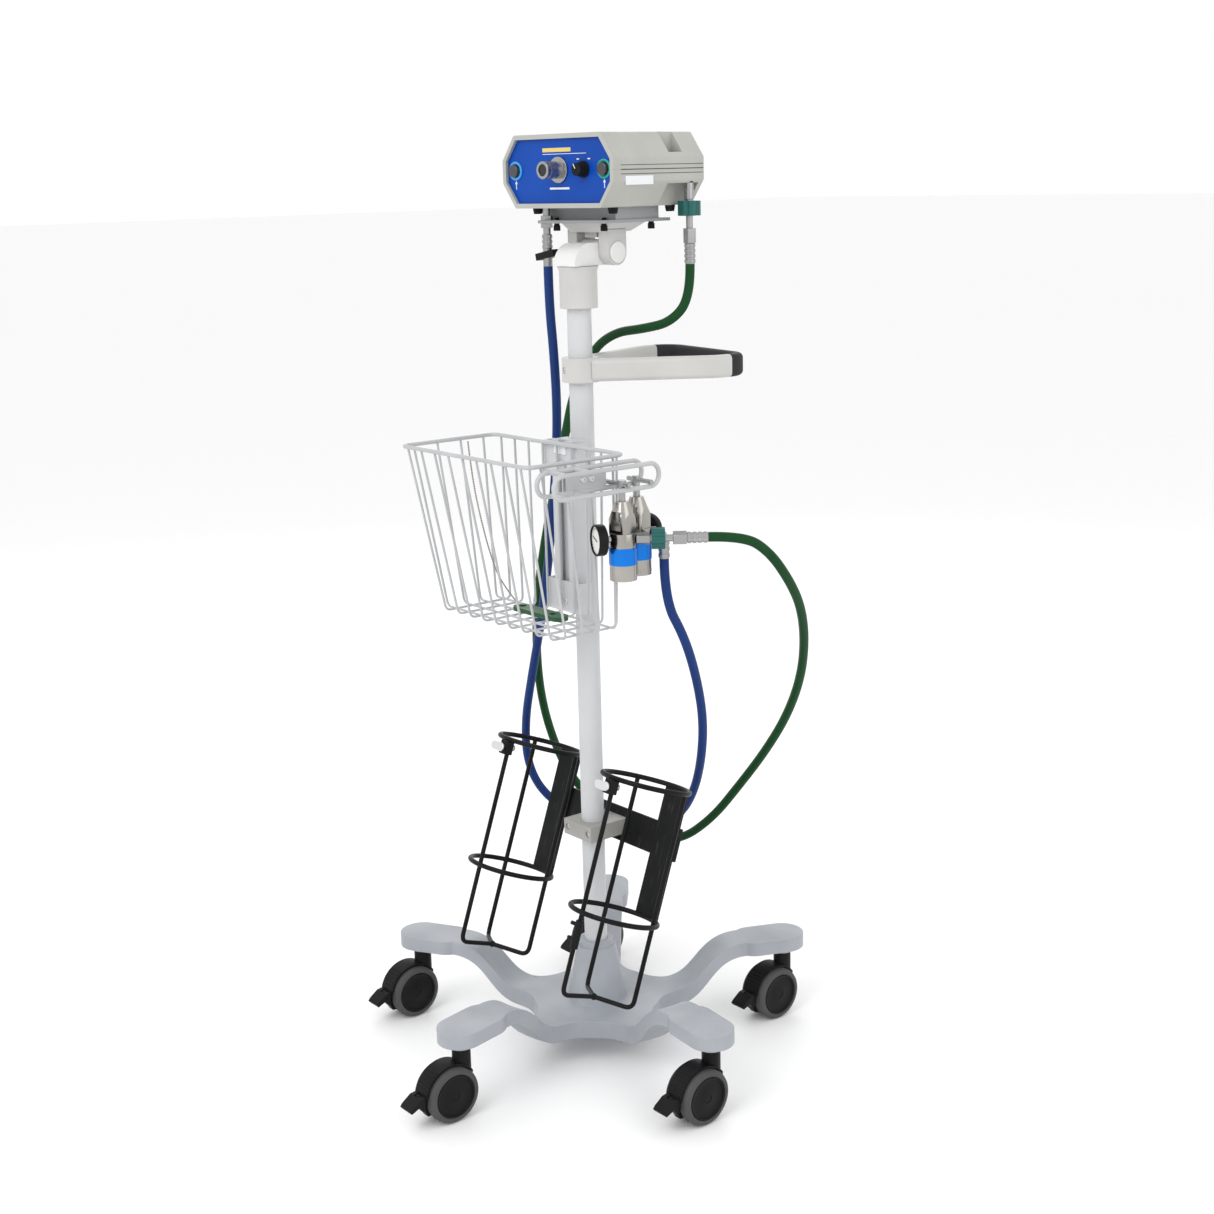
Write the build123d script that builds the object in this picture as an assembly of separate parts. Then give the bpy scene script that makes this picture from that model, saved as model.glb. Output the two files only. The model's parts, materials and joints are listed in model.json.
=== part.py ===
"""Gas analgesia unit on a five-caster roll stand, modelled as separate pieces.

Units are millimetres. +Z is up and the origin is on the floor on the pole's axis. The basket and the
front of the gas mixer face -Y, the push handle points to +Y and the pressure regulators hang at +X.
The mixer head and the handle are each turned a few degrees on the pole.
"""

import os
from math import atan2, cos, degrees, hypot, radians, sin, tan

from build123d import *

# --- clearances ---------------------------------------------------------------------------------
seat_gap = 0.05          # between a piece and the bore or shoulder it is fixed in
running_gap = 0.08       # radial clearance of a shaft that turns in its bore
moving_gap = 0.5         # side clearance between pieces that move past each other

# --- pole and base ------------------------------------------------------------------------------
pole_r = 16.0
pole_wall = 2.0
pole_foot_z = 66.0
pole_top_z = 1084.0
leg_count = 5
base_turn = 11.4         # turn of the first leg from -Y
caster_ring_r = 280.0    # pole axis to caster stem
hub_r = 92.0
hub_bottom_z = 38.0
hub_thickness = 25.0
pad_bottom_z = 102.0
pad_thickness = 20.0
pad_width = 62.0
leg_width = 50.0
web_fillet = 46.0
rise_start_r = 105.0     # where a leg starts to rise
rise_end_r = 218.0       # where it is level again
cone_foot_r = 43.0
cone_top_r = 27.5
cone_top_z = 141.0
cone_collar_r = 24.0
cone_collar_h = 9.0
pad_boss_r = 16.5
pad_boss_h = 8.0

# --- casters ------------------------------------------------------------------------------------
wheel_r = 37.5
wheel_w = 17.5
wheel_web_gap = 5.2      # caster centre plane to a wheel's inner face
caster_trail = 25.0
stem_r = 5.5
stem_bottom_z = 84.0
neck_r = 12.5
axle_r = 3.0
fender_gap = 1.2
fender_wall = 2.6
fender_half_w = 14.0
pedal_pivot_r = 43.5
pedal_pivot_deg = 174.0
pedal_length = 22.0
pedal_half_w = 12.5
pedal_pin_r = 2.0
pedal_press_deg = 12.0
ear_half_w = 3.6

# --- cylinder holder ----------------------------------------------------------------------------
clamp_z = 306.0
clamp_h = 22.0
clamp_half_x = 30.0
clamp_half_y = 28.0
clamp_screw_x = 22.5
cradle_pitch = 235.0     # between the two cradles' axes
cradle_lean = 19.5
cradle_top_y = 0.5
cradle_top_z = 410.0
cradle_r = 60.0          # to the centre of the ring wire
cradle_wire_r = 3.5
cradle_leg_r = 3.2
ring_spacing = 183.0
cradle_depth = 297.0
cradle_bend = 12.0
back_plate_w = 44.0
back_plate_t = 4.0
bar_t = 6.0
bar_h = 46.0
bar_drop = 76.0          # below the top ring along the cradle
wing_block = 14.0
wing_screw_r = 3.0
wing_span = 27.0

# --- basket, channel and hanger -----------------------------------------------------------------
channel_w = 44.0
channel_front_y = -36.0
channel_bottom_z = 632.0
channel_top_z = 866.0
bracket_w = 74.0
bracket_h = 42.0
bracket_t = 3.0
basket_rim_z = 862.0
basket_floor_z = 634.0
basket_back_y = -44.0
rim_len = 282.0
rim_depth = 152.0
floor_len = 264.0
floor_depth = 108.0
rim_wire_r = 2.75
basket_wire_r = 1.6
long_wires = 9
cross_wires = 4
hanger_plate_t = 3.0
hanger_plate_y = (-143.0, -81.0)
hanger_z = 825.0         # centre of the lower wires
hanger_h = 29.0
hanger_back_y = -22.0
hanger_front_y = -188.0
hanger_wire_r = 3.0
hanger_width = 34.0      # between the two loops

# --- regulators ---------------------------------------------------------------------------------
regulator_xy = ((172.0, -75.0), (157.5, -39.0))
outlet_turn = (-38.7, -30.0)    # turn of each outlet from +Y
gauge_turn = (-20.0, -152.0)    # turn of each gauge from -Y
tee_r = 3.0
tee_len = 46.0
screw_r = 4.5
yoke_top_z = 810.0
yoke_bottom_z = 752.0
yoke_half = 14.0
yoke_r = 17.0
sleeve_r = 18.0
sleeve_wall = 2.5
sleeve_bottom_z = 730.0
cap_r = 17.2
cap_bottom_z = 710.0
gauge_r = 20.0
gauge_t = 13.0
gauge_z = 763.0
gauge_reach = 24.0       # regulator axis to the gauge's back
outlet_z = 762.0
outlet_nut_y = (36.0, 53.0)
outlet_end_y = 107.0

# --- handle -------------------------------------------------------------------------------------
handle_turn = -9.0
handle_z = 956.5
handle_h = 30.0
handle_half_w = 95.0
handle_reach = 199.0
handle_bar_t = 16.0
handle_corner = 30.0
handle_hub_r = 25.0
grip_seam_y = 172.0
grip_skin = 1.2

# --- neck and tilt head -------------------------------------------------------------------------
head_turn = 6.0
collar_r = 25.0
collar_bottom_z = 1037.0
collar_lip_r = 27.5
collar_top_z = 1091.0
neck_half_w = 20.0
neck_top_z = 1121.0
neck_front_y = -25.0
spigot_len = 60.0
tilt_y = 36.0
tilt_z = 1108.0
tongue_r = 16.5
ear_r = 17.0
ear_t = 17.0
tilt_bolt_r = 5.0
dish_half = 44.0
dish_corner = 14.0
dish_bottom_z = 1134.0
plate_bottom_z = 1146.0
plate_t = 4.0
plate_half_x = 63.5
plate_half_y = 60.0
box_half_x = 61.5
box_half_y = 40.0
box_wall = 2.0
thumb_pitch = 88.0

# --- mixer case ---------------------------------------------------------------------------------
case_y = 50.0            # case centre behind the pole axis
case_w = 205.0
case_d = 168.0
case_bottom_z = 1166.0
case_h = 93.0
case_wall = 3.0
case_run = 23.0          # width of a sloping face, seen from the front
case_rise = 32.0         # its height
bezel_depth = 5.0
bezel_rim = 6.0
panel_t = 3.0
foot_pitch_x = 140.0
foot_pitch_y = 106.0
foot_r = 7.0
foot_h = 8.0
indicator_x = 82.0
indicator_r = 9.5
outlet_r = 11.0          # 22 mm male outside
outlet_bore_r = 7.5      # 15 mm female inside
outlet_len = 30.0
outlet_tail_r = 9.5      # passes through the panel
outlet_tail_len = 8.0    # behind the panel
outlet_flange_t = 3.0
outlet_flange_r = 16.5
knob_x = 45.0
knob_r = 9.0
knob_len = 14.0
knob_shaft_r = 3.0
knob_travel_deg = 60.0

# --- hoses and chain ----------------------------------------------------------------------------
hose_r = 6.2
nitrous_port = (-56.0, -1.0)    # in the head's own frame
oxygen_port = (96.0, 112.0)
hose_top_z = 1090.0
elbow_y = 34.0           # regulator axis to the nitrous elbow's tail
elbow_end_z = 728.0
chain_r = 1.2

case_top_z = case_bottom_z + case_h
case_split_z = case_bottom_z + case_h / 2
panel_z = case_split_z + 1.5
case_front_y = case_y - case_d / 2
panel_front_y = case_front_y + bezel_depth
plate_top_z = plate_bottom_z + plate_t
pole_bore_r = pole_r - pole_wall
axle_z = wheel_r
channel_half = channel_w / 2
hanger_x = rim_len / 2 + rim_wire_r + hanger_wire_r + 0.8
hanger_reach = hanger_x + hanger_width


# --- shared helpers -----------------------------------------------------------------------------
def block(x, y, z):
    """A box given by its (low, high) limits along each axis."""
    size = (x[1] - x[0], y[1] - y[0], z[1] - z[0])
    return Pos((x[0] + x[1]) / 2, (y[0] + y[1]) / 2, (z[0] + z[1]) / 2) * Box(*size)


def rod(start, end, radius, end_radius=None):
    """A round bar, or a taper when end_radius is given, between two points."""
    a, b = Vector(*start), Vector(*end)
    plane = Plane(origin=a, z_dir=b - a)
    length = (b - a).length
    if end_radius is None:
        return extrude(plane * Circle(radius), length)
    return loft([plane * Circle(radius), plane.offset(length) * Circle(end_radius)])


def hexagon(start, end, across):
    """A hexagonal bar between two points, given across its flats."""
    a, b = Vector(*start), Vector(*end)
    plane = Plane(origin=a, z_dir=b - a)
    return extrude(plane * RegularPolygon(across / 2, 6, major_radius=False), (b - a).length)


def bent_wire(points, radius, bend):
    """A round wire along straight runs joined by arcs."""
    path = FilletPolyline(*points, radius=bend)
    return sweep(Plane(origin=path @ 0, z_dir=path % 0) * Circle(radius), path=path)


def lean(x):
    """The frame of a cradle whose axis is at x: its z runs up the leaning axis."""
    return Pos(x, cradle_top_y, cradle_top_z) * Rot(-cradle_lean, 0, 0)


def head(shape):
    """Turn a piece drawn in the head's own frame to its place on the pole."""
    return Rot(0, 0, head_turn) * shape


def head_point(x, y, z):
    a = radians(head_turn)
    return (x * cos(a) - y * sin(a), x * sin(a) + y * cos(a), z)


def leg_angle(index):
    return 270.0 + base_turn + index * 360.0 / leg_count


def caster_xy(index):
    a = radians(leg_angle(index))
    return caster_ring_r * cos(a), caster_ring_r * sin(a)


# --- base and pole ------------------------------------------------------------------------------
def leg_outline():
    """The star seen from above, with rounded webs between its legs."""
    reach = caster_ring_r
    outline = Circle(hub_r)
    for index in range(leg_count):
        turn = Rot(0, 0, leg_angle(index))
        outline += turn * Pos(reach / 2, 0) * Rectangle(reach, leg_width)
    inner = [v for v in outline.vertices() if hypot(v.X, v.Y) < hub_r + 5]
    outline = fillet(inner, web_fillet)
    for index in range(leg_count):
        turn = Rot(0, 0, leg_angle(index))
        outline += turn * Pos(reach - 22, 0) * SlotOverall(pad_width + 44, pad_width)
    return outline


def rise_profile():
    """Half section of the dished legs: level hub, rising stretch, level pads."""
    out = caster_ring_r + pad_width
    mid = (rise_start_r + rise_end_r) / 2
    top, pad_top = hub_bottom_z + hub_thickness, pad_bottom_z + pad_thickness
    lower = Spline((rise_start_r, hub_bottom_z), (mid, (hub_bottom_z + pad_bottom_z) / 2),
                   (rise_end_r, pad_bottom_z), tangents=[(1, 0), (1, 0)])
    upper = Spline((rise_end_r, pad_top), (mid, (top + pad_top) / 2 + 4), (rise_start_r, top),
                   tangents=[(-1, 0), (-1, 0)])
    start = Line((0, hub_bottom_z), lower @ 0)
    end = Polyline(lower @ 1, (out, pad_bottom_z), (out, pad_top), upper @ 0)
    close = Polyline(upper @ 1, (0, top), (0, hub_bottom_z))
    return Plane.XZ * make_face(start + lower + end + upper + close)


def base_casting():
    body = extrude(leg_outline(), pad_bottom_z + pad_thickness + 20)
    body &= revolve(rise_profile(), Axis.Z)
    cone_foot_z = hub_bottom_z + hub_thickness
    body += rod((0, 0, cone_foot_z - 4), (0, 0, cone_top_z), cone_foot_r, cone_top_r)
    body += rod((0, 0, cone_top_z), (0, 0, cone_top_z + cone_collar_h), cone_collar_r)
    for index in range(leg_count):
        x, y = caster_xy(index)
        body += rod((x, y, pad_bottom_z - pad_boss_h), (x, y, pad_bottom_z + 1), pad_boss_r)
        body -= rod((x, y, 0), (x, y, pad_bottom_z + pad_thickness - 4), stem_r + seat_gap)
    return body - rod((0, 0, pole_foot_z), (0, 0, 400), pole_r + seat_gap)


def caster_stems():
    top = pad_bottom_z + pad_thickness - 4
    return [rod((*caster_xy(i), stem_bottom_z), (*caster_xy(i), top), stem_r) for i in range(leg_count)]


def pole():
    tube = rod((0, 0, pole_foot_z), (0, 0, pole_top_z), pole_r)
    return tube - rod((0, 0, pole_foot_z), (0, 0, pole_top_z), pole_bore_r)


# --- casters ------------------------------------------------------------------------------------
def polar_yz(radius, angle):
    """A point round the caster's axle, in the caster's own frame."""
    a = radians(angle)
    return (0, radius * cos(a) - caster_trail, radius * sin(a) + axle_z)


def axle_rod(radius, half_width):
    return rod((-half_width, -caster_trail, axle_z), (half_width, -caster_trail, axle_z), radius)


def caster_housing():
    """Hood, centre web and stem socket, in a frame with the stem on its z axis."""
    inner = wheel_r + fender_gap
    web = axle_rod(inner + fender_wall, wheel_web_gap - moving_gap)
    hood = axle_rod(inner + fender_wall, fender_half_w) - axle_rod(inner, fender_half_w + 1)
    low_cut = block((-40, 40), (-120, 60), (-20, axle_z + 6))
    front_cut = block((-40, 40), (8, 60), (-20, 120))
    body = web - block((-40, 40), (-120, 60), (-20, 14)) + (hood - low_cut)
    body -= front_cut
    top = pad_bottom_z - pad_boss_h - moving_gap
    body += rod((0, 0, 56), (0, 0, top), neck_r) - axle_rod(inner, fender_half_w + 20)
    body += rod((0, 0, 56), (0, 0, top), wheel_web_gap - moving_gap)
    pivot = polar_yz(pedal_pivot_r, pedal_pivot_deg)
    ear = rod((-ear_half_w, *pivot[1:]), (ear_half_w, *pivot[1:]), 4.5)
    root = polar_yz(wheel_r, pedal_pivot_deg)
    ear += block((-ear_half_w, ear_half_w), (pivot[1], root[1] + 3), (pivot[2] - 4, pivot[2] + 4))
    body += ear
    body -= rod((-20, *pivot[1:]), (20, *pivot[1:]), pedal_pin_r + running_gap)
    body -= axle_rod(axle_r + running_gap, 30)
    return body - rod((0, 0, stem_bottom_z - 1), (0, 0, 130), stem_r + running_gap)


def caster_wheels():
    """Two wheels and the axle they turn on."""
    outer = wheel_web_gap + wheel_w
    section = Polyline((wheel_web_gap, axle_r), (wheel_web_gap, wheel_r - 2), (wheel_web_gap + 2, wheel_r),
                       (outer - 4, wheel_r), (outer, wheel_r - 4), (outer, wheel_r - 9),
                       (outer - 1.5, wheel_r - 10), (outer - 1.5, axle_r), (wheel_web_gap, axle_r))
    disc = revolve(Plane.XY * make_face(section), Axis.X)
    place = Pos(0, -caster_trail, axle_z)
    right = place * disc
    return [right, place * mirror(disc, Plane.YZ), axle_rod(axle_r, outer - 3)]


def caster_pedal():
    """Brake pedal: a fork on the housing's ear with a flat toe plate."""
    pivot = polar_yz(pedal_pivot_r, pedal_pivot_deg)
    y, z = pivot[1:]
    tip = y - pedal_length
    outline = Polyline((y + 2.5, z + 5), (y - 6, z + 4), (tip + 3, z - 5), (tip, z - 9), (tip + 2, z - 12),
                       (y - 8, z - 7), (y - 3, z - 14), (y + 1.5, z - 14), (y + 2.5, z + 5))
    body = extrude(Plane.YZ * make_face(outline), pedal_half_w, both=True)
    body -= block((-wheel_web_gap, wheel_web_gap), (y - 5.5, y + 6), (z - 20, z + 20))
    pin = rod((-pedal_half_w, y, z), (pedal_half_w, y, z), pedal_pin_r)
    return [body - rod((-20, y, z), (20, y, z), pedal_pin_r), pin]


# --- cylinder holder ----------------------------------------------------------------------------
def cylinder_clamp():
    """Split block round the pole; the rear half has a sloping face for the bar."""
    z = (clamp_z, clamp_z + clamp_h)
    bore = rod((0, 0, z[0] - 5), (0, 0, z[1] + 5), pole_r + seat_gap)
    front = block((-clamp_half_x, clamp_half_x), (-clamp_half_y, 0), z) - bore
    rear = block((-clamp_half_x, clamp_half_x), (0, 60), z) - bore
    rear -= lean(0) * block((-60, 60), (cradle_r + back_plate_t / 2, 200), (-300, 100))
    for x in (-clamp_screw_x, clamp_screw_x):
        hole = rod((x, -60, clamp_z + clamp_h / 2), (x, 14, clamp_z + clamp_h / 2), 2.5 + seat_gap)
        front -= hole
        rear -= hole
        front -= rod((x, -60, clamp_z + clamp_h / 2), (x, -clamp_half_y + 5, clamp_z + clamp_h / 2), 4.4)
    return [front, rear]


def holder_bar():
    near = cradle_r + back_plate_t / 2
    half = cradle_pitch / 2 + back_plate_w / 2
    return lean(0) * block((-half, half), (near, near + bar_t), (-bar_drop - bar_h / 2, -bar_drop + bar_h / 2))


def cradle_point(angle, drop):
    """A point on a leg, which is welded to the inside of the rings."""
    reach = cradle_r - cradle_wire_r
    return (reach * cos(radians(angle)), reach * sin(radians(angle)), -drop)


def cradle_frame():
    """Rings, three legs that meet under the cylinder, back plate and screw block."""
    section = RectangleRounded(2 * cradle_wire_r, 2 * cradle_wire_r, cradle_wire_r - 0.4)
    ring = Rot(0, 0, 77) * revolve(Plane.XZ * Pos(cradle_r, 0) * section, Axis.Z)
    body = ring + Pos(0, 0, -ring_spacing) * ring
    for angle in (270, 30, 150):
        inner = (2 * cos(radians(angle)), 2 * sin(radians(angle)), -cradle_depth)
        points = [cradle_point(angle, -1.4), cradle_point(angle, cradle_depth), inner]
        body += bent_wire(points, cradle_leg_r, cradle_bend)
    body += rod((0, 0, -cradle_depth - 4), (0, 0, -cradle_depth + 4), 7)
    half_t = back_plate_t / 2
    body += block((-back_plate_w / 2, back_plate_w / 2), (cradle_r - half_t, cradle_r + half_t),
                  (-ring_spacing, 0))
    front = -cradle_r - wing_block / 2
    body += block((-wing_block / 2, wing_block / 2), (front, front + wing_block), (-22, -2))
    return body - rod((0, front - 5, -12), (0, -30, -12), wing_screw_r + running_gap)


def left_cradle():
    return lean(-cradle_pitch / 2) * cradle_frame()


def right_cradle():
    """The same cradle with a small clip on its front leg."""
    body = cradle_frame()
    top = -ring_spacing - 12
    clip = block((-5, 5), (-cradle_r - 6, -cradle_r + 8), (top - 38, top))
    return lean(cradle_pitch / 2) * (body + clip)


def wing_screw(x):
    """Clamping screw with two wings, square to the cradle's axis."""
    head_y = -cradle_r - wing_block / 2 - 3
    shank = rod((0, head_y - 6, -12), (0, -cradle_r + wing_block / 2 + 4, -12), wing_screw_r)
    hub = rod((0, head_y - 7, -12), (0, head_y, -12), 5.5)
    wings = Pos(0, head_y - 5, -12) * Rot(90, 0, 0) * extrude(SlotOverall(wing_span, 12), 3)
    tip = rod((0, -cradle_r + wing_block / 2 + 4, -12), (0, -cradle_r + wing_block / 2 + 6, -12), 4.5)
    return lean(x) * (shank + hub + wings + tip)


# --- basket and its channel ---------------------------------------------------------------------
def basket_channel():
    body = block((-channel_half, channel_half), (channel_front_y, -9), (channel_bottom_z, channel_top_z))
    body -= rod((0, 0, 500), (0, 0, 1000), pole_r + seat_gap)
    slot = block((-8, 8), (channel_front_y - 1, channel_front_y + 8), (channel_bottom_z - 1, channel_top_z + 1))
    lips = block((-13, 13), (channel_front_y + 3, channel_front_y + 8),
                 (channel_bottom_z - 1, channel_top_z + 1))
    return body - slot - lips


def bracket_levels():
    return (channel_bottom_z + 2, channel_top_z - bracket_h - 2)


def basket_brackets():
    plates = []
    for low in bracket_levels():
        z = (low, low + bracket_h)
        front = channel_front_y - bracket_t
        plate = block((-bracket_w / 2, bracket_w / 2), (front, channel_front_y), z)
        for side in (-1, 1):
            edge = side * bracket_w / 2
            flange = sorted((edge, edge - side * bracket_t))
            plate += block(flange, (front, channel_front_y + 16), z)
            hole = rod((side * 5.5, -80, low + 15), (side * 5.5, channel_front_y + 1, low + 15), 2.5 + seat_gap)
            plate -= hole
        plates.append(plate)
    return plates


def basket_corner(share, edge_share, level):
    """A point of the tapered basket: share runs along x, edge_share from the back to the front."""
    up = (level - basket_floor_z) / (basket_rim_z - basket_floor_z)
    length = floor_len + (rim_len - floor_len) * up
    depth = floor_depth + (rim_depth - floor_depth) * up
    return (length * share, basket_back_y - depth * edge_share, level)


def basket():
    """Welded wire basket: one rim, long wires front to back and cross wires end to end."""
    rim = [basket_corner(-0.5, 0, basket_rim_z), basket_corner(0.5, 0, basket_rim_z),
           basket_corner(0.5, 1, basket_rim_z), basket_corner(-0.5, 1, basket_rim_z)]
    path = FilletPolyline(*rim, close=True, radius=12)
    body = sweep(Plane(origin=path @ 0, z_dir=path % 0) * Circle(rim_wire_r), path=path)
    for index in range(long_wires):
        share = (index + 0.5) / long_wires - 0.5
        points = [basket_corner(share, 0, basket_rim_z), basket_corner(share, 0, basket_floor_z),
                  basket_corner(share, 1, basket_floor_z), basket_corner(share, 1, basket_rim_z)]
        body += bent_wire(points, basket_wire_r, 8)
    for index in range(cross_wires):
        share = (index + 0.5) / cross_wires
        floor = basket_floor_z + basket_wire_r
        ends = [basket_corner(s, share, z) for s, z in ((-0.5, basket_rim_z), (-0.5, floor))]
        others = [basket_corner(s, share, z) for s, z in ((0.5, floor), (0.5, basket_rim_z))]
        body += bent_wire(ends + others, basket_wire_r, 8)
    return body


def cylinder_wrench():
    """Flat plastic key for the cylinder valve, lying on the basket's floor."""
    floor = basket_floor_z + 2 * basket_wire_r + seat_gap
    plate = extrude(Pos(6, basket_back_y - 40, floor) * SlotOverall(106, 24), 6)
    plate -= block((28, 37), (basket_back_y - 44.5, basket_back_y - 35.5), (floor - 1, floor + 8))
    return plate - rod((-34, basket_back_y - 40, floor - 1), (-34, basket_back_y - 40, floor + 8), 6)


def chain_points():
    """The chain hangs from the basket's left rim to the key's eye."""
    floor = basket_floor_z + 2 * basket_wire_r
    return [(-rim_len / 2 + 6, basket_back_y - 49, basket_rim_z - 4), (-129, basket_back_y - 48, 806),
            (-117, basket_back_y - 46, 756), (-101, basket_back_y - 44, 708),
            (-80, basket_back_y - 42, 668), (-47, basket_back_y - 40, floor + 9)]


# --- regulator hanger ---------------------------------------------------------------------------
def hanger_loop(x):
    z = (hanger_z, hanger_z + hanger_h)
    corners = [(x, hanger_front_y, z[0]), (x, hanger_back_y, z[0]), (x, hanger_back_y, z[1]),
               (x, hanger_front_y, z[1])]
    path = FilletPolyline(*corners, close=True, radius=hanger_h / 2 - 0.5)
    return sweep(Plane(origin=path @ 0, z_dir=path % 0) * Circle(hanger_wire_r), path=path)


def hanger_screw_places():
    middle = sum(hanger_plate_y) / 2
    return [(y, hanger_z + hanger_h / 2) for y in (middle - 6.5, middle + 6.5)]


def regulator_hanger():
    """Plate outside the basket with two wire loops, and a backing plate inside the basket's wires."""
    z = (hanger_z - hanger_wire_r, hanger_z + hanger_h - hanger_wire_r - 1)
    plate_x = hanger_x - hanger_plate_t / 2
    body = block((plate_x, plate_x + hanger_plate_t), hanger_plate_y, z)
    inside = floor_len / 2 - 4
    backing = block((inside, inside + hanger_plate_t), (hanger_plate_y[0] + 8, hanger_plate_y[1] - 8), z)
    for y, middle in hanger_screw_places():
        body -= rod((inside - 5, y, middle), (hanger_reach, y, middle), 2.5 + seat_gap)
        backing -= rod((inside - 5, y, middle), (hanger_reach, y, middle), 2.5 + seat_gap)
    body += hanger_loop(hanger_x) + hanger_loop(hanger_reach)
    for y in (hanger_front_y + 20, hanger_plate_y[0] + 12):
        for level in (hanger_z, hanger_z + hanger_h):
            body += rod((hanger_x, y, level), (hanger_reach, y, level), hanger_wire_r - 0.3)
    return [body, backing]


# --- regulators ---------------------------------------------------------------------------------
def regulator_place(index, turn=0.0):
    x, y = regulator_xy[index]
    return Pos(x, y, 0) * Rot(0, 0, turn)


def yoke():
    """Yoke with a window for the cylinder valve and chamfered shoulders, and the body below it."""
    square = block((-yoke_half, yoke_half), (-yoke_half + 2, yoke_half - 2), (yoke_bottom_z, yoke_top_z))
    shoulder = yoke_top_z - 22
    round_off = rod((0, 0, yoke_bottom_z), (0, 0, shoulder), yoke_r)
    round_off += rod((0, 0, shoulder), (0, 0, yoke_top_z), yoke_r, 8.5)
    body = square & round_off
    body -= block((-8.5, 8.5), (-30, 30), (yoke_bottom_z + 22, yoke_top_z - 12))
    body += rod((0, 0, cap_bottom_z), (0, 0, sleeve_bottom_z), cap_r)
    body += rod((0, 0, sleeve_bottom_z), (0, 0, yoke_bottom_z), sleeve_r - sleeve_wall)
    body += rod((0, 0, yoke_bottom_z), (0, 0, yoke_bottom_z + 18), yoke_r)
    return body - rod((0, 0, yoke_bottom_z + 26), (0, 0, yoke_top_z + 5), screw_r + running_gap)


def regulator_yokes():
    bodies = []
    for index in range(2):
        body = regulator_place(index, outlet_turn[index] + 45) * yoke()
        port = rod((0, -10, gauge_z), (0, -gauge_reach, gauge_z), 4)
        bodies.append(body + regulator_place(index, gauge_turn[index]) * port)
    return bodies


def regulator_sleeves():
    ring = rod((0, 0, sleeve_bottom_z), (0, 0, yoke_bottom_z), sleeve_r)
    ring -= rod((0, 0, 600), (0, 0, 900), sleeve_r - sleeve_wall + seat_gap)
    return [regulator_place(index) * ring for index in range(2)]


def regulator_gauges():
    """Round pressure gauges on the regulators' side ports."""
    front = -gauge_reach - gauge_t
    body = rod((0, -gauge_reach, gauge_z), (0, front, gauge_z), gauge_r)
    body -= rod((0, front + 2, gauge_z), (0, front - 1, gauge_z), gauge_r - 2.5)
    return [regulator_place(index, gauge_turn[index]) * body for index in range(2)]


def tee_screw(index):
    """Tommy-bar screw; its bar lies across the hanger's two lower wires."""
    z = hanger_z + hanger_wire_r + tee_r + moving_gap
    bar = rod((-tee_len / 2, 0, z), (tee_len / 2, 0, z), tee_r)
    hub = rod((0, 0, z - 4), (0, 0, z + 5), 5.5)
    screw = rod((0, 0, yoke_bottom_z + 32), (0, 0, z), screw_r)
    middle = (hanger_x + hanger_reach) / 2
    shift = middle - regulator_xy[index][0]
    return regulator_place(index) * (Pos(shift, 0, 0) * bar + hub + screw)


# --- handle -------------------------------------------------------------------------------------
def handle_path():
    """Centre line of the loop in the handle's own frame."""
    return FilletPolyline((19, 6, handle_z), (handle_half_w, grip_seam_y - 20, handle_z),
                          (handle_half_w, handle_reach, handle_z), (-handle_half_w, handle_reach, handle_z),
                          (-handle_half_w, grip_seam_y - 20, handle_z), (-19, 6, handle_z),
                          radius=handle_corner)


def handle_loop(thickness, height):
    path = handle_path()
    section = Plane(origin=path @ 0, z_dir=path % 0, x_dir=(0, 0, 1)) * RectangleRounded(
        height, thickness, min(thickness, height) / 2 - 1.5)
    return sweep(section, path=path)


def behind_seam():
    return block((-200, 200), (grip_seam_y, 300), (handle_z - 40, handle_z + 40))


def handle_frame():
    z = (handle_z - handle_h / 2, handle_z + handle_h / 2)
    loop = handle_loop(handle_bar_t, handle_h)
    core = handle_loop(handle_bar_t - 2 * grip_skin - 4, handle_h - 2 * grip_skin - 4) & behind_seam()
    body = (loop - behind_seam()) + core
    body += rod((0, 0, z[0] - 1), (0, 0, z[1] + 1), handle_hub_r)
    body -= rod((0, 0, 0), (0, 0, 1200), pole_r + seat_gap)
    body -= rod((0, -40, handle_z), (0, -handle_hub_r + 4, handle_z), 4.4)
    body -= rod((0, -40, handle_z), (0, -pole_r, handle_z), 2.5 + seat_gap)
    return Rot(0, 0, handle_turn) * body


def handle_grip():
    """Soft cover moulded round the loop's rear bar."""
    cover = handle_loop(handle_bar_t, handle_h) & behind_seam()
    core = handle_loop(handle_bar_t - 2 * grip_skin - 4, handle_h - 2 * grip_skin - 4)
    return Rot(0, 0, handle_turn) * (cover - core)


# --- collar, neck and tilt head -----------------------------------------------------------------
def pole_collar():
    body = rod((0, 0, collar_bottom_z), (0, 0, collar_top_z - 6), collar_r)
    body += rod((0, 0, collar_top_z - 6), (0, 0, collar_top_z), collar_r, collar_lip_r)
    return body - rod((0, 0, 0), (0, 0, 1200), pole_r + seat_gap)


def neck():
    """Elbow that turns in the pole and carries the tilt axis on its tongue."""
    foot = collar_top_z + moving_gap
    front = Polyline((neck_front_y, foot), (neck_front_y, foot + 4))
    bend = ThreePointArc(front @ 1, (neck_front_y + 8, neck_top_z - 9), (neck_front_y + 25, neck_top_z))
    rest = Polyline(bend @ 1, (tilt_y, neck_top_z), (tilt_y, foot), front @ 0)
    body = extrude(Plane.YZ * make_face(front + bend + rest), neck_half_w, both=True)
    body += rod((-neck_half_w, tilt_y, tilt_z), (neck_half_w, tilt_y, tilt_z), tongue_r)
    spigot = rod((0, 0, foot - spigot_len), (0, 0, foot + 1), pole_bore_r - running_gap)
    body += spigot
    return head(body - rod((-60, tilt_y, tilt_z), (60, tilt_y, tilt_z), tilt_bolt_r + running_gap))


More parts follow.
